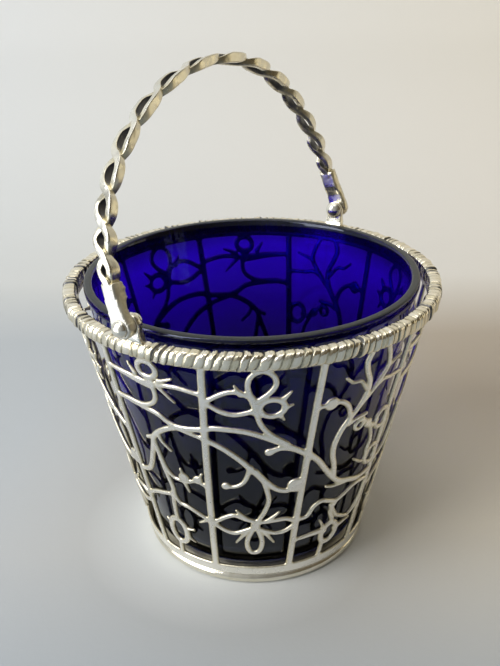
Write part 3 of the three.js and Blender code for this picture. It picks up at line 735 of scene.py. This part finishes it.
def wave_sum(at, waves):
    """The sum of sine waves at a place."""
    return sum(height * math.sin(rate * at + start) for height, rate, start in waves)


def blunt(value):
    """A sine or cosine for a section between a circle and a square."""
    return math.copysign(abs(value) ** ROPE_BLUNTNESS, value)


def lobe_shape(phase, deep):
    """How deep the wire is cut at a place of its lobes, and how tarnished it is there, with the far side of
    each lobe made darker and yellower.
    """
    lobe = math.floor(phase / math.tau + 0.5)
    share = phase / math.tau - lobe
    groove = (2 * abs(share)) ** GROOVE_SHARPNESS
    ridge = math.sin(RIDGES * phase + RIDGE_DRIFT * math.sin(RIDGE_RATE * lobe))
    tilt = LOBE_TILT * math.sin(TILT_RATE * lobe)
    uneven = LOBE_UNEVEN * math.sin(UNEVEN_RATE * lobe + 1)
    cut = (LOBE_CROWN * share * share + GROOVE_DEPTH * groove + tilt * share + uneven + RIDGE_DEPTH * ridge)
    parts = (1, deep * groove, max(0, math.sin(MARK_RATE * lobe)), max(0, share) ** 2, max(0, ridge))
    return cut * deep, sum(mark * part for mark, part in zip(ROPE_MARKS, parts))


def rope(name, start, end):
    """Lobes cut by hand, each tilted its own way, and worn smooth in front of the ears."""
    points, tarnish_and_painted_shade = [], []
    for i in range(ROPE_STEPS + 1):
        turn = start + (end - start) * i / ROPE_STEPS
        drift = wave_sum(turn, LOBE_DRIFT)
        from_end = min(turn - start, end - turn) * ROPE_RADIUS
        deep = min(DEPTH_MOST, max(DEPTH_LEAST, DEPTH_MIDDLE + wave_sum(turn, LOBE_DEPTH)))
        deep *= min(1.0, WORN_SHARE + from_end / WORN_REACH)
        slimmer = END_SLIMMING * max(0, 1 - from_end / SLIMMING_REACH) ** 2
        lean = LEAN_MIDDLE + LEAN_SWING * math.cos(2 * (turn - LEAN_TURN))
        for k in range(ROPE_SIDES):
            side = math.tau * k / ROPE_SIDES
            cut, mark = lobe_shape(ROPE_LOBES * turn - lean * math.sin(side) + drift, deep)
            cut += ROPE_WAVER * math.sin(ROPE_WAVER_RATE * turn + 2 * side) + ROPE_INSET + slimmer
            r = ROPE_RADIUS + (ROPE_HALF_WIDTH - cut) * blunt(math.cos(side))
            z = ROPE_Z + (ROPE_HALF_HEIGHT - cut + ROPE_LIFT) * blunt(math.sin(side))
            points.append((r * math.cos(turn), r * math.sin(turn), z))
            tarnish_and_painted_shade.append(min(1.0, mark + BELOW_MARK * max(0, -math.sin(side))))
    piece = solid_mesh(name, points, closed_tube_faces(ROPE_STEPS + 1, ROPE_SIDES), tarnish_and_painted_shade)
    piece.data.materials.append(SILVER_ROPE)
    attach(piece, "pail")
    return piece


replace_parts(rope("rope_rim_back", ROPE_END_TURN, math.pi - ROPE_END_TURN), "rope_wire_back")
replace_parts(rope("rope_rim_front", math.pi + ROPE_END_TURN, math.tau - ROPE_END_TURN), "rope_wire_front")


# The foot and the base

FOOT_STEPS = 180
# The foot wire's section as (out from its inner face, height), with a groove under its upper edge
FOOT_SECTION = [
    (0, 0.35), (0.3, 0.05), (0.7, 0), (1.3, 0), (1.7, 0.06), (2.1, 0.24), (2.4, 0.52), (2.58, 0.86),
    (2.66, 1.2), (2.62, 1.55), (2.48, 1.9), (2.28, 2.18), (2.1, 2.34), (2.06, 2.42), (2.2, 2.52),
    (2.5, 2.66), (2.75, 2.82), (2.8, 3.0), (2.3, 3.1), (1.85, 3.0), (1.8, 2.3), (1.3, 2.0), (0.3, 2.0),
    (0, 1.7), (0, 0.35),
]
FOOT_MARK = 0.06
BASE_MARK = 0.25
BASE_STEPS = 144
BASE_EDGE_OUT = 0.2
BASE_EDGE_UP = 0.25
BASE_DISH_RADIUS = 18
BASE_DISH = 0.12

foot = lathe("foot_ring", [(FOOT_INNER_RADIUS + out, z) for out, z in FOOT_SECTION], FOOT_STEPS, FOOT_MARK)
foot.data.materials.append(SILVER_FOOT)
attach(foot, "pail")
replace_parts(foot, "foot_wire")

base = lathe("base_disc", [
    (0, BASE_LOW_Z), (BASE_DISH_RADIUS, BASE_LOW_Z + BASE_DISH), (BASE_RADIUS - BASE_EDGE_OUT, BASE_LOW_Z),
    (BASE_RADIUS, BASE_LOW_Z + BASE_EDGE_UP), (BASE_RADIUS, BASE_TOP_Z - BASE_EDGE_UP),
    (BASE_RADIUS - BASE_EDGE_OUT, BASE_TOP_Z), (0, BASE_TOP_Z)], BASE_STEPS, BASE_MARK)
base.data.materials.append(SILVER_DULL)
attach(base, "pail")
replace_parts(base, "base_plate")


# The ears and the rivets

EAR_STEP = 0.1
EAR_ROWS = 84
EAR_HEAD = 1.95
EAR_NECK_HALF = 1.75
EAR_FOOT_HALF = 3.0
EAR_FILLET = 0.8
EAR_LOW_Z = EAR_BASE_Z + 0.4
EAR_SLIMMING = 0.3
# Below this height the ear steps back, so that it stands inside the rope
SETBACK_Z = PIVOT_Z - 3.2
SETBACK_HEIGHT = 1.9
SETBACK = 1.3
SHEET_EDGE = 0.3
TAPER_POWER = 1.2
EAR_EDGE_MARK = 0.1
RIVET_MARK = 0.1
RIVET_STEPS = 40
RIVET_DENT = 0.02
INNER_HEAD_RIGHT = 2.1
INNER_HEAD_LEFT = 1.65
HEAD_DEPTH_SHARE = 0.9
OUTER_HEAD_RADIUS = 1.75
OUTER_HEAD_HEIGHT = 1.35
HEAD_START = 0.12
HEAD_BLUNTNESS = 0.9
# How deep in the ear the inner head starts, and what the outer head keeps clear of the handle
INNER_HEAD_SEAT = 0.7 * EAR_THICKNESS + 0.02
OUTER_HEAD_GAP = 0.05


def ear(name, side):
    """A lug with a round top, whose foot stands inside the rope wire."""
    ys = np.arange(-EAR_HALF_WIDTH, EAR_HALF_WIDTH + EAR_STEP / 2, EAR_STEP)
    zs = np.linspace(EAR_LOW_Z, PIVOT_Z + EAR_TOP_RADIUS, EAR_ROWS)
    up_step = zs[1] - zs[0]
    y, z = np.meshgrid(ys, zs, indexing="ij")
    head = np.hypot(y, z - PIVOT_Z) - EAR_HEAD
    up = limited((z - EAR_BASE_Z) / (PIVOT_Z - EAR_BASE_Z))
    half = EAR_NECK_HALF + (EAR_FOOT_HALF - EAR_NECK_HALF) * (1 - up) ** TAPER_POWER
    shank = np.maximum(np.abs(y) - half, z - PIVOT_Z)
    sdf = np.maximum(join_smooth(head, shank, EAR_FILLET), EAR_LOW_Z - z)
    sdf = np.maximum(sdf, BORE_RADIUS - np.hypot(y, z - PIVOT_Z))

    def place(i, j, depth):
        across = ys[0] + i * EAR_STEP
        height = zs[0] + j * up_step
        slim = 1 - EAR_SLIMMING * limited((height - EAR_SHOULDER_Z) / (PIVOT_Z - EAR_SHOULDER_Z))
        back = SETBACK * limited((SETBACK_Z - height) / SETBACK_HEIGHT) ** TAPER_POWER
        out = EAR_OUTER - back - depth * slim * (1 - EAR_SLIMMING * back)
        return np.stack([side * out, side * across, height], 1)

    piece = cut_sheet(name, sdf, EAR_STEP, up_step, place, EAR_THICKNESS, SHEET_EDGE,
                      side_tarnish=EAR_EDGE_MARK)
    piece.data.materials.append(SILVER_HANDLE)
    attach(piece, "pail")
    return piece


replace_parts(ear("ear_plate_right", 1), "ear_right")
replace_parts(ear("ear_plate_left", -1), "ear_left")


def rivet(name, side):
    """The pin with a low outer head and a rounder inner one, turned about X."""
    inner = EAR_OUTER - INNER_HEAD_SEAT
    outer = HANDLE_MIDDLE + HANDLE_THICKNESS / 2 + OUTER_HEAD_GAP
    ball = INNER_HEAD_RIGHT if side > 0 else INNER_HEAD_LEFT
    inner_depth = HEAD_DEPTH_SHARE * ball
    profile = [(0.0, inner - inner_depth)]
    for turn in np.linspace(HEAD_START, 1, 10) * math.pi / 2:
        profile.append((ball * math.sin(turn) ** HEAD_BLUNTNESS, inner - inner_depth * math.cos(turn)))
    profile += [(RIVET_RADIUS, inner), (RIVET_RADIUS, outer)]
    for turn in np.linspace(1, HEAD_START, 8) * math.pi / 2:
        profile.append((OUTER_HEAD_RADIUS * math.sin(turn), outer + OUTER_HEAD_HEIGHT * math.cos(turn)))
    profile.append((0.0, outer + OUTER_HEAD_HEIGHT))
    points = []
    for i in range(RIVET_STEPS):
        turn = math.tau * i / RIVET_STEPS
        for r, x in profile:
            r = r * (1 + RIVET_DENT * math.sin(3 * turn + 2 * x))
            points.append((side * x, r * math.cos(turn), PIVOT_Z + r * math.sin(turn)))
    faces = grid_faces(RIVET_STEPS, len(profile), ring=True)
    piece = solid_mesh(name, points, faces, np.full(len(points), RIVET_MARK))
    piece.data.materials.append(SILVER_HANDLE)
    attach(piece, "pail")
    return piece


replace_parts(rivet("rivet_pin_right", 1), "hinge_rivet_right")
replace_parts(rivet("rivet_pin_left", -1), "hinge_rivet_left")


# The swing handle

LINKS = 15
TONGUE_LEFT = 8.2
TONGUE_RIGHT = 9.9
# The links are long in the middle, and the longest lie a little to the right
LINK_SPREAD = 0.31
LINK_LAG = 3.3
LINK_PITCH = 5.6
# The strap's inner side is thicker towards its ends
END_SWELL = 1.0
SWELL_START = 3.6
SWELL_RISE = 2.5
SWELL_REACH = 26.0
# One strand of the strap, halfway between two crossings, and what a crossing adds or takes
STRAND_SWING = 1.5
END_SWING_LOSS = 0.35
STRAND_HALF_WIDTH = 0.52
STRAND_HALF_HEIGHT = 1.08
STRAND_CORNER = 0.34
CROSSING_WIDER = 0.27
CROSSING_THINNER = 0.42
CROSSING_OFFSET = 0.42
NEAR_END_WIDER = 0.1
NEAR_END_LINKS = 4
FULLNESS = 1.4
STRAP_OVERLAP = 1.2
SAMPLES_PER_LINK = 32
# The first crossing swings out less, between these two counts of links from the end
FIRST_FROM = 0.85
FIRST_TO = 1.15
# How tarnished or shaded a strand is: all over, in openings (tarnish with painted shade), on its sides,
# where it is crossed (a painted shadow), on its inner face
STRAND_MARKS = (0.04, 0.85, 0.16, 0.36, 0.12)
CORNER_START = 0.85
CORNER_LOSS = 0.75
# The plain tongues
TONGUE_STEP = 0.15
TONGUE_ROWS = 32
TONGUE_HALF_LEFT = 1.55
TONGUE_HALF_RIGHT = 1.85
FLARE = 0.4
FLARE_REACH = 6.5
FLARE_POWER = 0.8
TONGUE_FILLET = 0.8
TONGUE_CROWN = 0.08
TONGUE_EDGE_MARK = 0.25
TONGUE_OVERLAP = 0.35
TONGUE_MARGIN = 0.6
LEFT_SWELL_SHARE = 1.8
NOTCH_DEPTH = 0.4
NOTCH_RATE = 1.75
NOTCH_START = 3.6
NOTCH_RISE = 1.5

ARCH = np.linspace(0, math.pi, 721)
ARCH_X = -HANDLE_MIDDLE * np.cos(ARCH)
ARCH_Z = HANDLE_LEG + (HANDLE_RISE - HANDLE_LEG) * np.sin(ARCH)
ARCH_RUN = np.concatenate([[0], np.cumsum(np.hypot(np.diff(ARCH_X), np.diff(ARCH_Z)))]) + HANDLE_LEG
HANDLE_TOTAL = ARCH_RUN[-1] + HANDLE_LEG
SLOPE_X = np.gradient(ARCH_X, ARCH_RUN)
SLOPE_Z = np.gradient(ARCH_Z, ARCH_RUN)
LINK_SHARES = np.linspace(0, 1, 601)
LINK_PLACES = (TONGUE_LEFT + (HANDLE_TOTAL - TONGUE_LEFT - TONGUE_RIGHT)
               * (LINK_SHARES - LINK_SPREAD * np.sin(math.tau * LINK_SHARES) / math.tau)
               - LINK_LAG * np.sin(math.pi * LINK_SHARES) ** 2)


def handle_place(s, w, out):
    """A place along, across and out from the strap's middle line, bowed and leaned as in the part."""
    s, w, out = (np.asarray(value, float) for value in (s, w, out))
    at = np.clip(s, HANDLE_LEG, HANDLE_TOTAL - HANDLE_LEG)
    x, z = np.interp(at, ARCH_RUN, ARCH_X), np.interp(at, ARCH_RUN, ARCH_Z)
    along_x, along_z = np.interp(at, ARCH_RUN, SLOPE_X), np.interp(at, ARCH_RUN, SLOPE_Z)
    size = np.hypot(along_x, along_z)
    along_x, along_z = along_x / size, along_z / size
    along_x = np.where((s < HANDLE_LEG) | (s > HANDLE_TOTAL - HANDLE_LEG), 0, along_x)
    x = x - along_z * out + along_x * (s - at)
    z = z + along_x * out - np.abs(s - at)
    y = w + HANDLE_BOW * np.sin(math.pi * np.clip(z, 0, None) / HANDLE_RISE)
    cos_lean, sin_lean = math.cos(HANDLE_LEAN), math.sin(HANDLE_LEAN)
    return np.stack([x, y * cos_lean + z * sin_lean, z * cos_lean - y * sin_lean + PIVOT_Z], -1)


def swell(s):
    """How much thicker the strap's inner side is near its ends."""
    from_end = np.minimum(s, HANDLE_TOTAL - s)
    rise = limited((from_end - SWELL_START) / SWELL_RISE)
    return END_SWELL * rise * limited(1 - from_end / SWELL_REACH)


def strand(name, way):
    """One of the strap's two strands. At every other crossing it lies on top."""
    s = np.linspace(TONGUE_LEFT - STRAP_OVERLAP, HANDLE_TOTAL - TONGUE_RIGHT + STRAP_OVERLAP,
                    LINKS * SAMPLES_PER_LINK)
    spare = (s - np.clip(s, LINK_PLACES[0], LINK_PLACES[-1])) / LINK_PITCH
    links = np.interp(s, LINK_PLACES, LINK_SHARES * LINKS) + spare
    turn = math.pi * links
    from_end = np.minimum(links, LINKS - links)
    first = limited((FIRST_TO - from_end) / (FIRST_TO - FIRST_FROM))
    near_end = limited(1 - from_end / NEAR_END_LINKS)
    crossing = np.cos(turn) ** 2
    amount = STRAND_SWING - END_SWING_LOSS * first
    half = STRAND_HALF_WIDTH + CROSSING_WIDER * crossing + NEAR_END_WIDER * near_end * (1 - crossing)
    height = STRAND_HALF_HEIGHT - CROSSING_THINNER * crossing ** 1.5 + swell(s) / 2
    wide = np.tanh(FULLNESS * np.sin(turn)) / math.tanh(FULLNESS)
    narrow = np.sin(turn) * np.abs(np.sin(turn)) ** 0.5
    w = way * amount * (wide + (narrow - wide) * near_end)
    lift = way * CROSSING_OFFSET * np.sign(np.cos(turn)) * crossing ** 1.3
    out = lift - swell(s) / 2
    slope = np.gradient(w, s)
    size = np.hypot(1, slope)
    section = rounded_square(STRAND_CORNER, 4)
    points, tarnish_and_painted_shade = [], []
    for a, b in section:
        side = a * half
        points.append(handle_place(s - slope / size * side, w + side / size, out + b * height))
        facing = limited(-a * np.sign(w) * (np.abs(w) / amount))
        edge = 1 - CORNER_LOSS * max(0, abs(b) - CORNER_START) / (1 - CORNER_START)
        # The parts are tarnish all over, tarnish with painted shade on the walls inside the openings,
        # tarnish on the sides, a painted shadow where the strand passes under the other one, and tarnish on
        # the inner face.
        parts = (1, facing * edge, abs(a) * edge, limited(-lift / CROSSING_OFFSET) ** 2, b < -0.9)
        tarnish_and_painted_shade.append(limited(sum(mark * part for mark, part in zip(STRAND_MARKS, parts))))
    points = np.stack(points, 1).reshape(-1, 3)
    tarnish_and_painted_shade = np.stack(tarnish_and_painted_shade, 1).reshape(-1)
    return solid_mesh(name, points, closed_tube_faces(len(s), len(section)), tarnish_and_painted_shade)


def tongue(name, side, length):
    """The plain end of the strap, round and with a hole. On the left its inner edge is notched."""
    ss = np.arange(-HANDLE_END, length + TONGUE_MARGIN, TONGUE_STEP)
    ws = np.linspace(-HANDLE_END, HANDLE_END, TONGUE_ROWS)
    across_step = ws[1] - ws[0]
    s, w = np.meshgrid(ss, ws, indexing="ij")
    half = TONGUE_HALF_LEFT if side < 0 else TONGUE_HALF_RIGHT
    half = half + FLARE * limited(1 - s / FLARE_REACH) ** FLARE_POWER
    bar = np.maximum(np.maximum(np.abs(w) - half, -s), s - length - TONGUE_OVERLAP)
    end = np.hypot(s, w) - HANDLE_END
    sdf = join_smooth(bar, end, TONGUE_FILLET)
    sdf = np.maximum(sdf, np.maximum(np.abs(w) - HANDLE_END, -HANDLE_END - s))
    sdf = np.maximum(sdf, BORE_RADIUS - np.hypot(s, w))

    def place(i, j, depth):
        along = ss[0] + i * TONGUE_STEP
        across = ws[0] + j * across_step
        deeper, at = swell(along), HANDLE_TOTAL - along
        if side < 0:
            notch = np.abs(np.sin(NOTCH_RATE * along)) * limited((along - NOTCH_START) / NOTCH_RISE)
            deeper, at = deeper * LEFT_SWELL_SHARE - NOTCH_DEPTH * notch, along
        return handle_place(at, across, HANDLE_THICKNESS / 2 - depth * (1 + deeper / HANDLE_THICKNESS))

    return cut_sheet(name, sdf, TONGUE_STEP, across_step, place, HANDLE_THICKNESS, SHEET_EDGE, TONGUE_CROWN,
                     flip=side < 0, side_tarnish=TONGUE_EDGE_MARK)


strands = [strand("strap_strand_a", 1), strand("strap_strand_b", -1)]
ends = [tongue("strap_tongue_left", -1, TONGUE_LEFT), tongue("strap_tongue_right", 1, TONGUE_RIGHT)]
for piece in strands + ends:
    piece.data.materials.append(SILVER_TONGUE if piece is ends[0] else SILVER_HANDLE)
    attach(piece, "handle")
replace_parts(strands[0], "handle")


# The glass liner

LINER_STEPS = 176
FLARE_STEPS = 12
# The underside and the heel as (radius, height above the lowest place)
LINER_HEEL = [(0, 0.35), (15, 0.2), (22.6, 0), (24.4, 0.12), (25.6, 0.75), (26.2, 1.6), (26.49, 2.6)]
NECK_RADIUS = 37.5
NECK_DROP = 3.0
# The lip as (out from its widest place, up from its top), from the outer side to the inner one
LIP_RADIUS = 38.0
LINER_LIP = [
    (-0.25, -2.4), (-0.05, -1.8), (0, -1.0), (-0.03, -0.5), (-0.15, -0.18), (-0.4, -0.03), (-0.6, 0),
    (-1.1, 0), (-1.5, 0), (-1.7, -0.06), (-1.9, -0.2), (-2.05, -0.5), (-2.22, -1.6),
]
LINER_WALL = 1.9
WELL_RADIUS = 25.22
WELL_TOP = 6.0
INSIDE_SHARE = 0.93
# The well's floor as (radius, height above the lowest place)
LINER_FLOOR = [(25.3, 6.4), (24.7, 4.9), (23.6, 3.9), (22.0, 3.45), (12, 3.4), (0, 3.4)]
GROUND_DEPTH = 0.12


def between(start, end, shares):
    """Places on the straight line between two places."""
    return [(start[0] + (end[0] - start[0]) * t, start[1] + (end[1] - start[1]) * t) for t in shares]


def glass_liner():
    """The bowl, with a thick foot, a flaring wall, a rounded lip and a round well."""
    neck_z = LINER_TOP - NECK_DROP
    heel = [(r, LINER_LOW + z) for r, z in LINER_HEEL]
    outside = between(heel[-1], (NECK_RADIUS, neck_z), np.linspace(0.08, 1, FLARE_STEPS))
    lip = [(LIP_RADIUS + out, LINER_TOP + up) for out, up in LINER_LIP]
    inside = between((NECK_RADIUS - LINER_WALL, neck_z), (WELL_RADIUS, LINER_LOW + WELL_TOP),
                     np.linspace(0, INSIDE_SHARE, FLARE_STEPS))
    floor = [(r, LINER_LOW + z) for r, z in LINER_FLOOR]
    return lathe("glass_bowl", heel + outside + lip + inside + floor, LINER_STEPS, 0.0)


liner = glass_liner()
liner.data.materials.append(blue_glass())
liner.data.materials.append(ground_rim())
for face in liner.data.polygons:
    if face.center.z > (LINER_TOP - GROUND_DEPTH) * MM:
        face.material_index = 1
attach(liner, "liner")
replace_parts(liner, "glass_liner")


# The stage, the lights and the camera

VIEW_TURN = math.radians(-57)
PAPER_FRONT_Y = -900
PAPER_ROWS = 15
PAPER_ROW_STEP = 70
BEND_START_Y = 150
BEND_RADIUS = 90
BEND_STEPS = 16
PAPER_BACK_Y = 260
PAPER_TOP_Z = 1500
PAPER_HALF = 1400
PAPER_COLUMNS = 15
# The table's colours from front to back, on the left and on the right, and the wall's from left to right.
# The table is darker and bluer at the front; on the right it has painted light beside the pail and painted
# shade, darker and warmer, further back. The wall's painted shading is set below.
TABLE_LEFT = [(0.1, (0.325, 0.365, 0.405)), (0.42, (0.44, 0.455, 0.465)), (0.7, (0.44, 0.465, 0.485))]
TABLE_RIGHT_PAINTED_LIGHT_AND_SHADE = [(0.1, (0.325, 0.365, 0.405)), (0.46, (0.60, 0.55, 0.455)), (0.8, (0.45, 0.39, 0.315))]
TABLE_PAINTED_GLOW = (0.62, 0.635, 0.63)
PAINTED_SHADING_WALL_LOW = [(0.0, (0.55, 0.57, 0.57)), (1.0, (0.74, 0.70, 0.63))]
PAINTED_SHADING_WALL_HIGH = [(0.0, (0.79, 0.80, 0.80)), (1.0, (0.965, 0.91, 0.80))]
BLACK = (0, 0, 0)
WHITE = (1, 1, 1)
# The middle of the painted pool of light round the foot, in metres, and how fast it fades per metre
PAINTED_GLOW_MIDDLE = (-0.006, -0.004, 0)
PAINTED_GLOW_SCALE = 16.0
WEAVE = (900, 2)
WEAVE_BUMP = (0.06, 0.0004)
# How fast the colours change with depth and sideways, per metre
TABLE_DEPTH_SCALE = 5.0
TABLE_SIDE_SCALE = 7.0
PAPER_SIDE_SCALE = 3.0
ROOM_STRENGTH = 0.8
# The room's light, from its dim side to its bright one
TOWARD_WINDOW = (-1, -0.25, 0.35)
ROOM_COLOURS = [
    (0.0, (0.13, 0.10, 0.06)), (0.35, (0.17, 0.145, 0.105)), (0.62, (0.29, 0.29, 0.285)),
    (1.0, (0.80, 0.83, 0.86)),
]
CAMERA_PLACE = (-0.65, -171.7, 133.7)
CAMERA_LENS = 43.24
SENSOR_WIDTH = 36
NEAREST_SEEN = 0.01
CAMERA_TILT = 0.444
CAMERA_ROLL = -0.021


def from_view(x, y, z):
    """A place to the looker's right, away and up, in mm, as a place of the part."""
    cos_view, sin_view = math.cos(VIEW_TURN), math.sin(VIEW_TURN)
    return Vector((x * cos_view - y * sin_view, x * sin_view + y * cos_view, z)) * MM


def paper():
    """Pale paper that lies on the table and curves up to a wall behind the pail."""
    material, graph, surface = shader("pale_paper", {"Roughness": 0.85, "Specular IOR Level": 0.2})
    seen = graph.new("Mapping")
    set_inputs(seen, {"Rotation": (0, 0, -VIEW_TURN)})
    graph.feed(seen.inputs["Vector"], graph.new("TexCoord").outputs["Object"])
    parts = graph.new("SeparateXYZ")
    graph.feed(parts.inputs["Vector"], seen.outputs["Vector"])
    across, away, up = (parts.outputs[axis] for axis in "XYZ")
    depth = graph.scaled(away, TABLE_DEPTH_SCALE, 0.5)
    apart = graph.new("VectorMath")
    apart.operation = "DISTANCE"
    apart.inputs[1].default_value = PAINTED_GLOW_MIDDLE
    graph.feed(apart.inputs[0], seen.outputs["Vector"])
    far = graph.maths("MULTIPLY", apart.outputs["Value"], PAINTED_GLOW_SCALE)
    # A painted pool of light on the table beside the foot, standing in for light thrown off the silver
    painted_glow = graph.ramp(far, [(0.36, WHITE), (0.62, BLACK)])
    left, right = graph.ramp(depth, TABLE_LEFT), graph.ramp(depth, TABLE_RIGHT_PAINTED_LIGHT_AND_SHADE)
    plain = graph.mixed(graph.scaled(across, TABLE_SIDE_SCALE, 0.5), left, right)
    table = graph.mixed(painted_glow, plain, TABLE_PAINTED_GLOW)
    sideways = graph.scaled(across, PAPER_SIDE_SCALE, 0.5)
    # Painted shading on the wall: darker low down and on the left, lighter high up, and lighter and warmer
    # to the right
    climb = graph.ramp(up, [(0.005, BLACK), (0.1, WHITE)])
    wall = graph.mixed(climb, graph.ramp(sideways, PAINTED_SHADING_WALL_LOW), graph.ramp(sideways, PAINTED_SHADING_WALL_HIGH))
    wall_share = graph.ramp(graph.maths("ADD", away, up), [(0.105, BLACK), (0.165, WHITE)])
    graph.feed(surface["Base Color"], graph.mixed(wall_share, table, wall))
    graph.feed(surface["Normal"], graph.bumped(graph.noise(*WEAVE), *WEAVE_BUMP))
    return material


def sweep():
    """The sheet of paper: flat under the pail, then bent up to stand behind it."""
    profile = [(PAPER_FRONT_Y + PAPER_ROW_STEP * i, 0) for i in range(PAPER_ROWS)] + [(BEND_START_Y, 0)]
    for turn in np.linspace(0, math.pi / 2, BEND_STEPS)[1:]:
        profile.append((BEND_START_Y + BEND_RADIUS * math.sin(turn), BEND_RADIUS * (1 - math.cos(turn))))
    profile.append((PAPER_BACK_Y, PAPER_TOP_Z))
    columns = np.linspace(-PAPER_HALF, PAPER_HALF, PAPER_COLUMNS)
    points = [tuple(from_view(x, y, z) / MM) for x in columns for y, z in profile]
    piece = mesh_object("paper_sweep", points, grid_faces(PAPER_COLUMNS, len(profile)))
    piece.data.materials.append(paper())


def lamp(name, at, aim, size, power, colour):
    """A lamp with a rectangular face. Its places are as the looker sees them, in mm."""
    data = bpy.data.lights.new(name, "AREA")
    data.shape = "RECTANGLE"
    data.size, data.size_y = size[0] * MM, size[1] * MM
    data.energy = power
    data.color = colour
    item = bpy.data.objects.new(name, data)
    item.location = from_view(*at)
    item.rotation_mode = "QUATERNION"
    item.rotation_quaternion = (from_view(*aim) - item.location).to_track_quat("-Z", "Y")
    bpy.context.scene.collection.objects.link(item)


def room():
    """A plain room: bright towards the window on the left, dim and warm on the right."""
    world = bpy.data.worlds.new("room")
    world.use_nodes = True
    bpy.context.scene.world = world
    graph = Graph(world.node_tree)
    toward = graph.new("VectorMath")
    toward.operation = "DOT_PRODUCT"
    toward.inputs[1].default_value = from_view(*TOWARD_WINDOW).normalized()
    graph.feed(toward.inputs[0], graph.new("TexCoord").outputs["Generated"])
    side = graph.scaled(toward.outputs["Value"], 0.5, 0.5)
    background = graph.nodes["Background"].inputs
    graph.feed(background["Color"], graph.ramp(side, ROOM_COLOURS))
    background["Strength"].default_value = ROOM_STRENGTH


def place_camera():
    """The camera as fitted to the photo: a little rolled and looking down at the pail."""
    data = bpy.data.cameras.new("camera")
    data.sensor_width = SENSOR_WIDTH
    data.lens = CAMERA_LENS
    data.clip_start = NEAREST_SEEN
    forward = from_view(0, math.cos(CAMERA_TILT), -math.sin(CAMERA_TILT)).normalized()
    right = from_view(1, 0, 0).normalized()
    up = right.cross(forward)
    rolled_right = math.cos(CAMERA_ROLL) * right + math.sin(CAMERA_ROLL) * up
    rolled_up = math.cos(CAMERA_ROLL) * up - math.sin(CAMERA_ROLL) * right
    turn = Matrix((rolled_right, rolled_up, -forward)).transposed().to_4x4()
    camera = bpy.data.objects.new("camera", data)
    bpy.context.scene.collection.objects.link(camera)
    camera.matrix_world = Matrix.Translation(from_view(*CAMERA_PLACE)) @ turn
    bpy.context.scene.camera = camera


sweep()
lamp("window", (-740, -420, 560), (0, 0, 40), (620, 760), 7.8, (0.98, 0.99, 1.0))
lamp("ceiling", (-60, -60, 1150), (0, 60, 0), (800, 800), 3.2, (1.0, 0.99, 0.96))
lamp("warm_card", (600, 150, 85), (0, 0, 70), (340, 170), 0.13, (1.0, 0.89, 0.60))
lamp("white_card", (-172, -92, 28), (0, 0, 34), (160, 90), 0.1, (1.0, 1.0, 0.98))
room()
place_camera()
bpy.context.scene.view_settings.view_transform = "Standard"
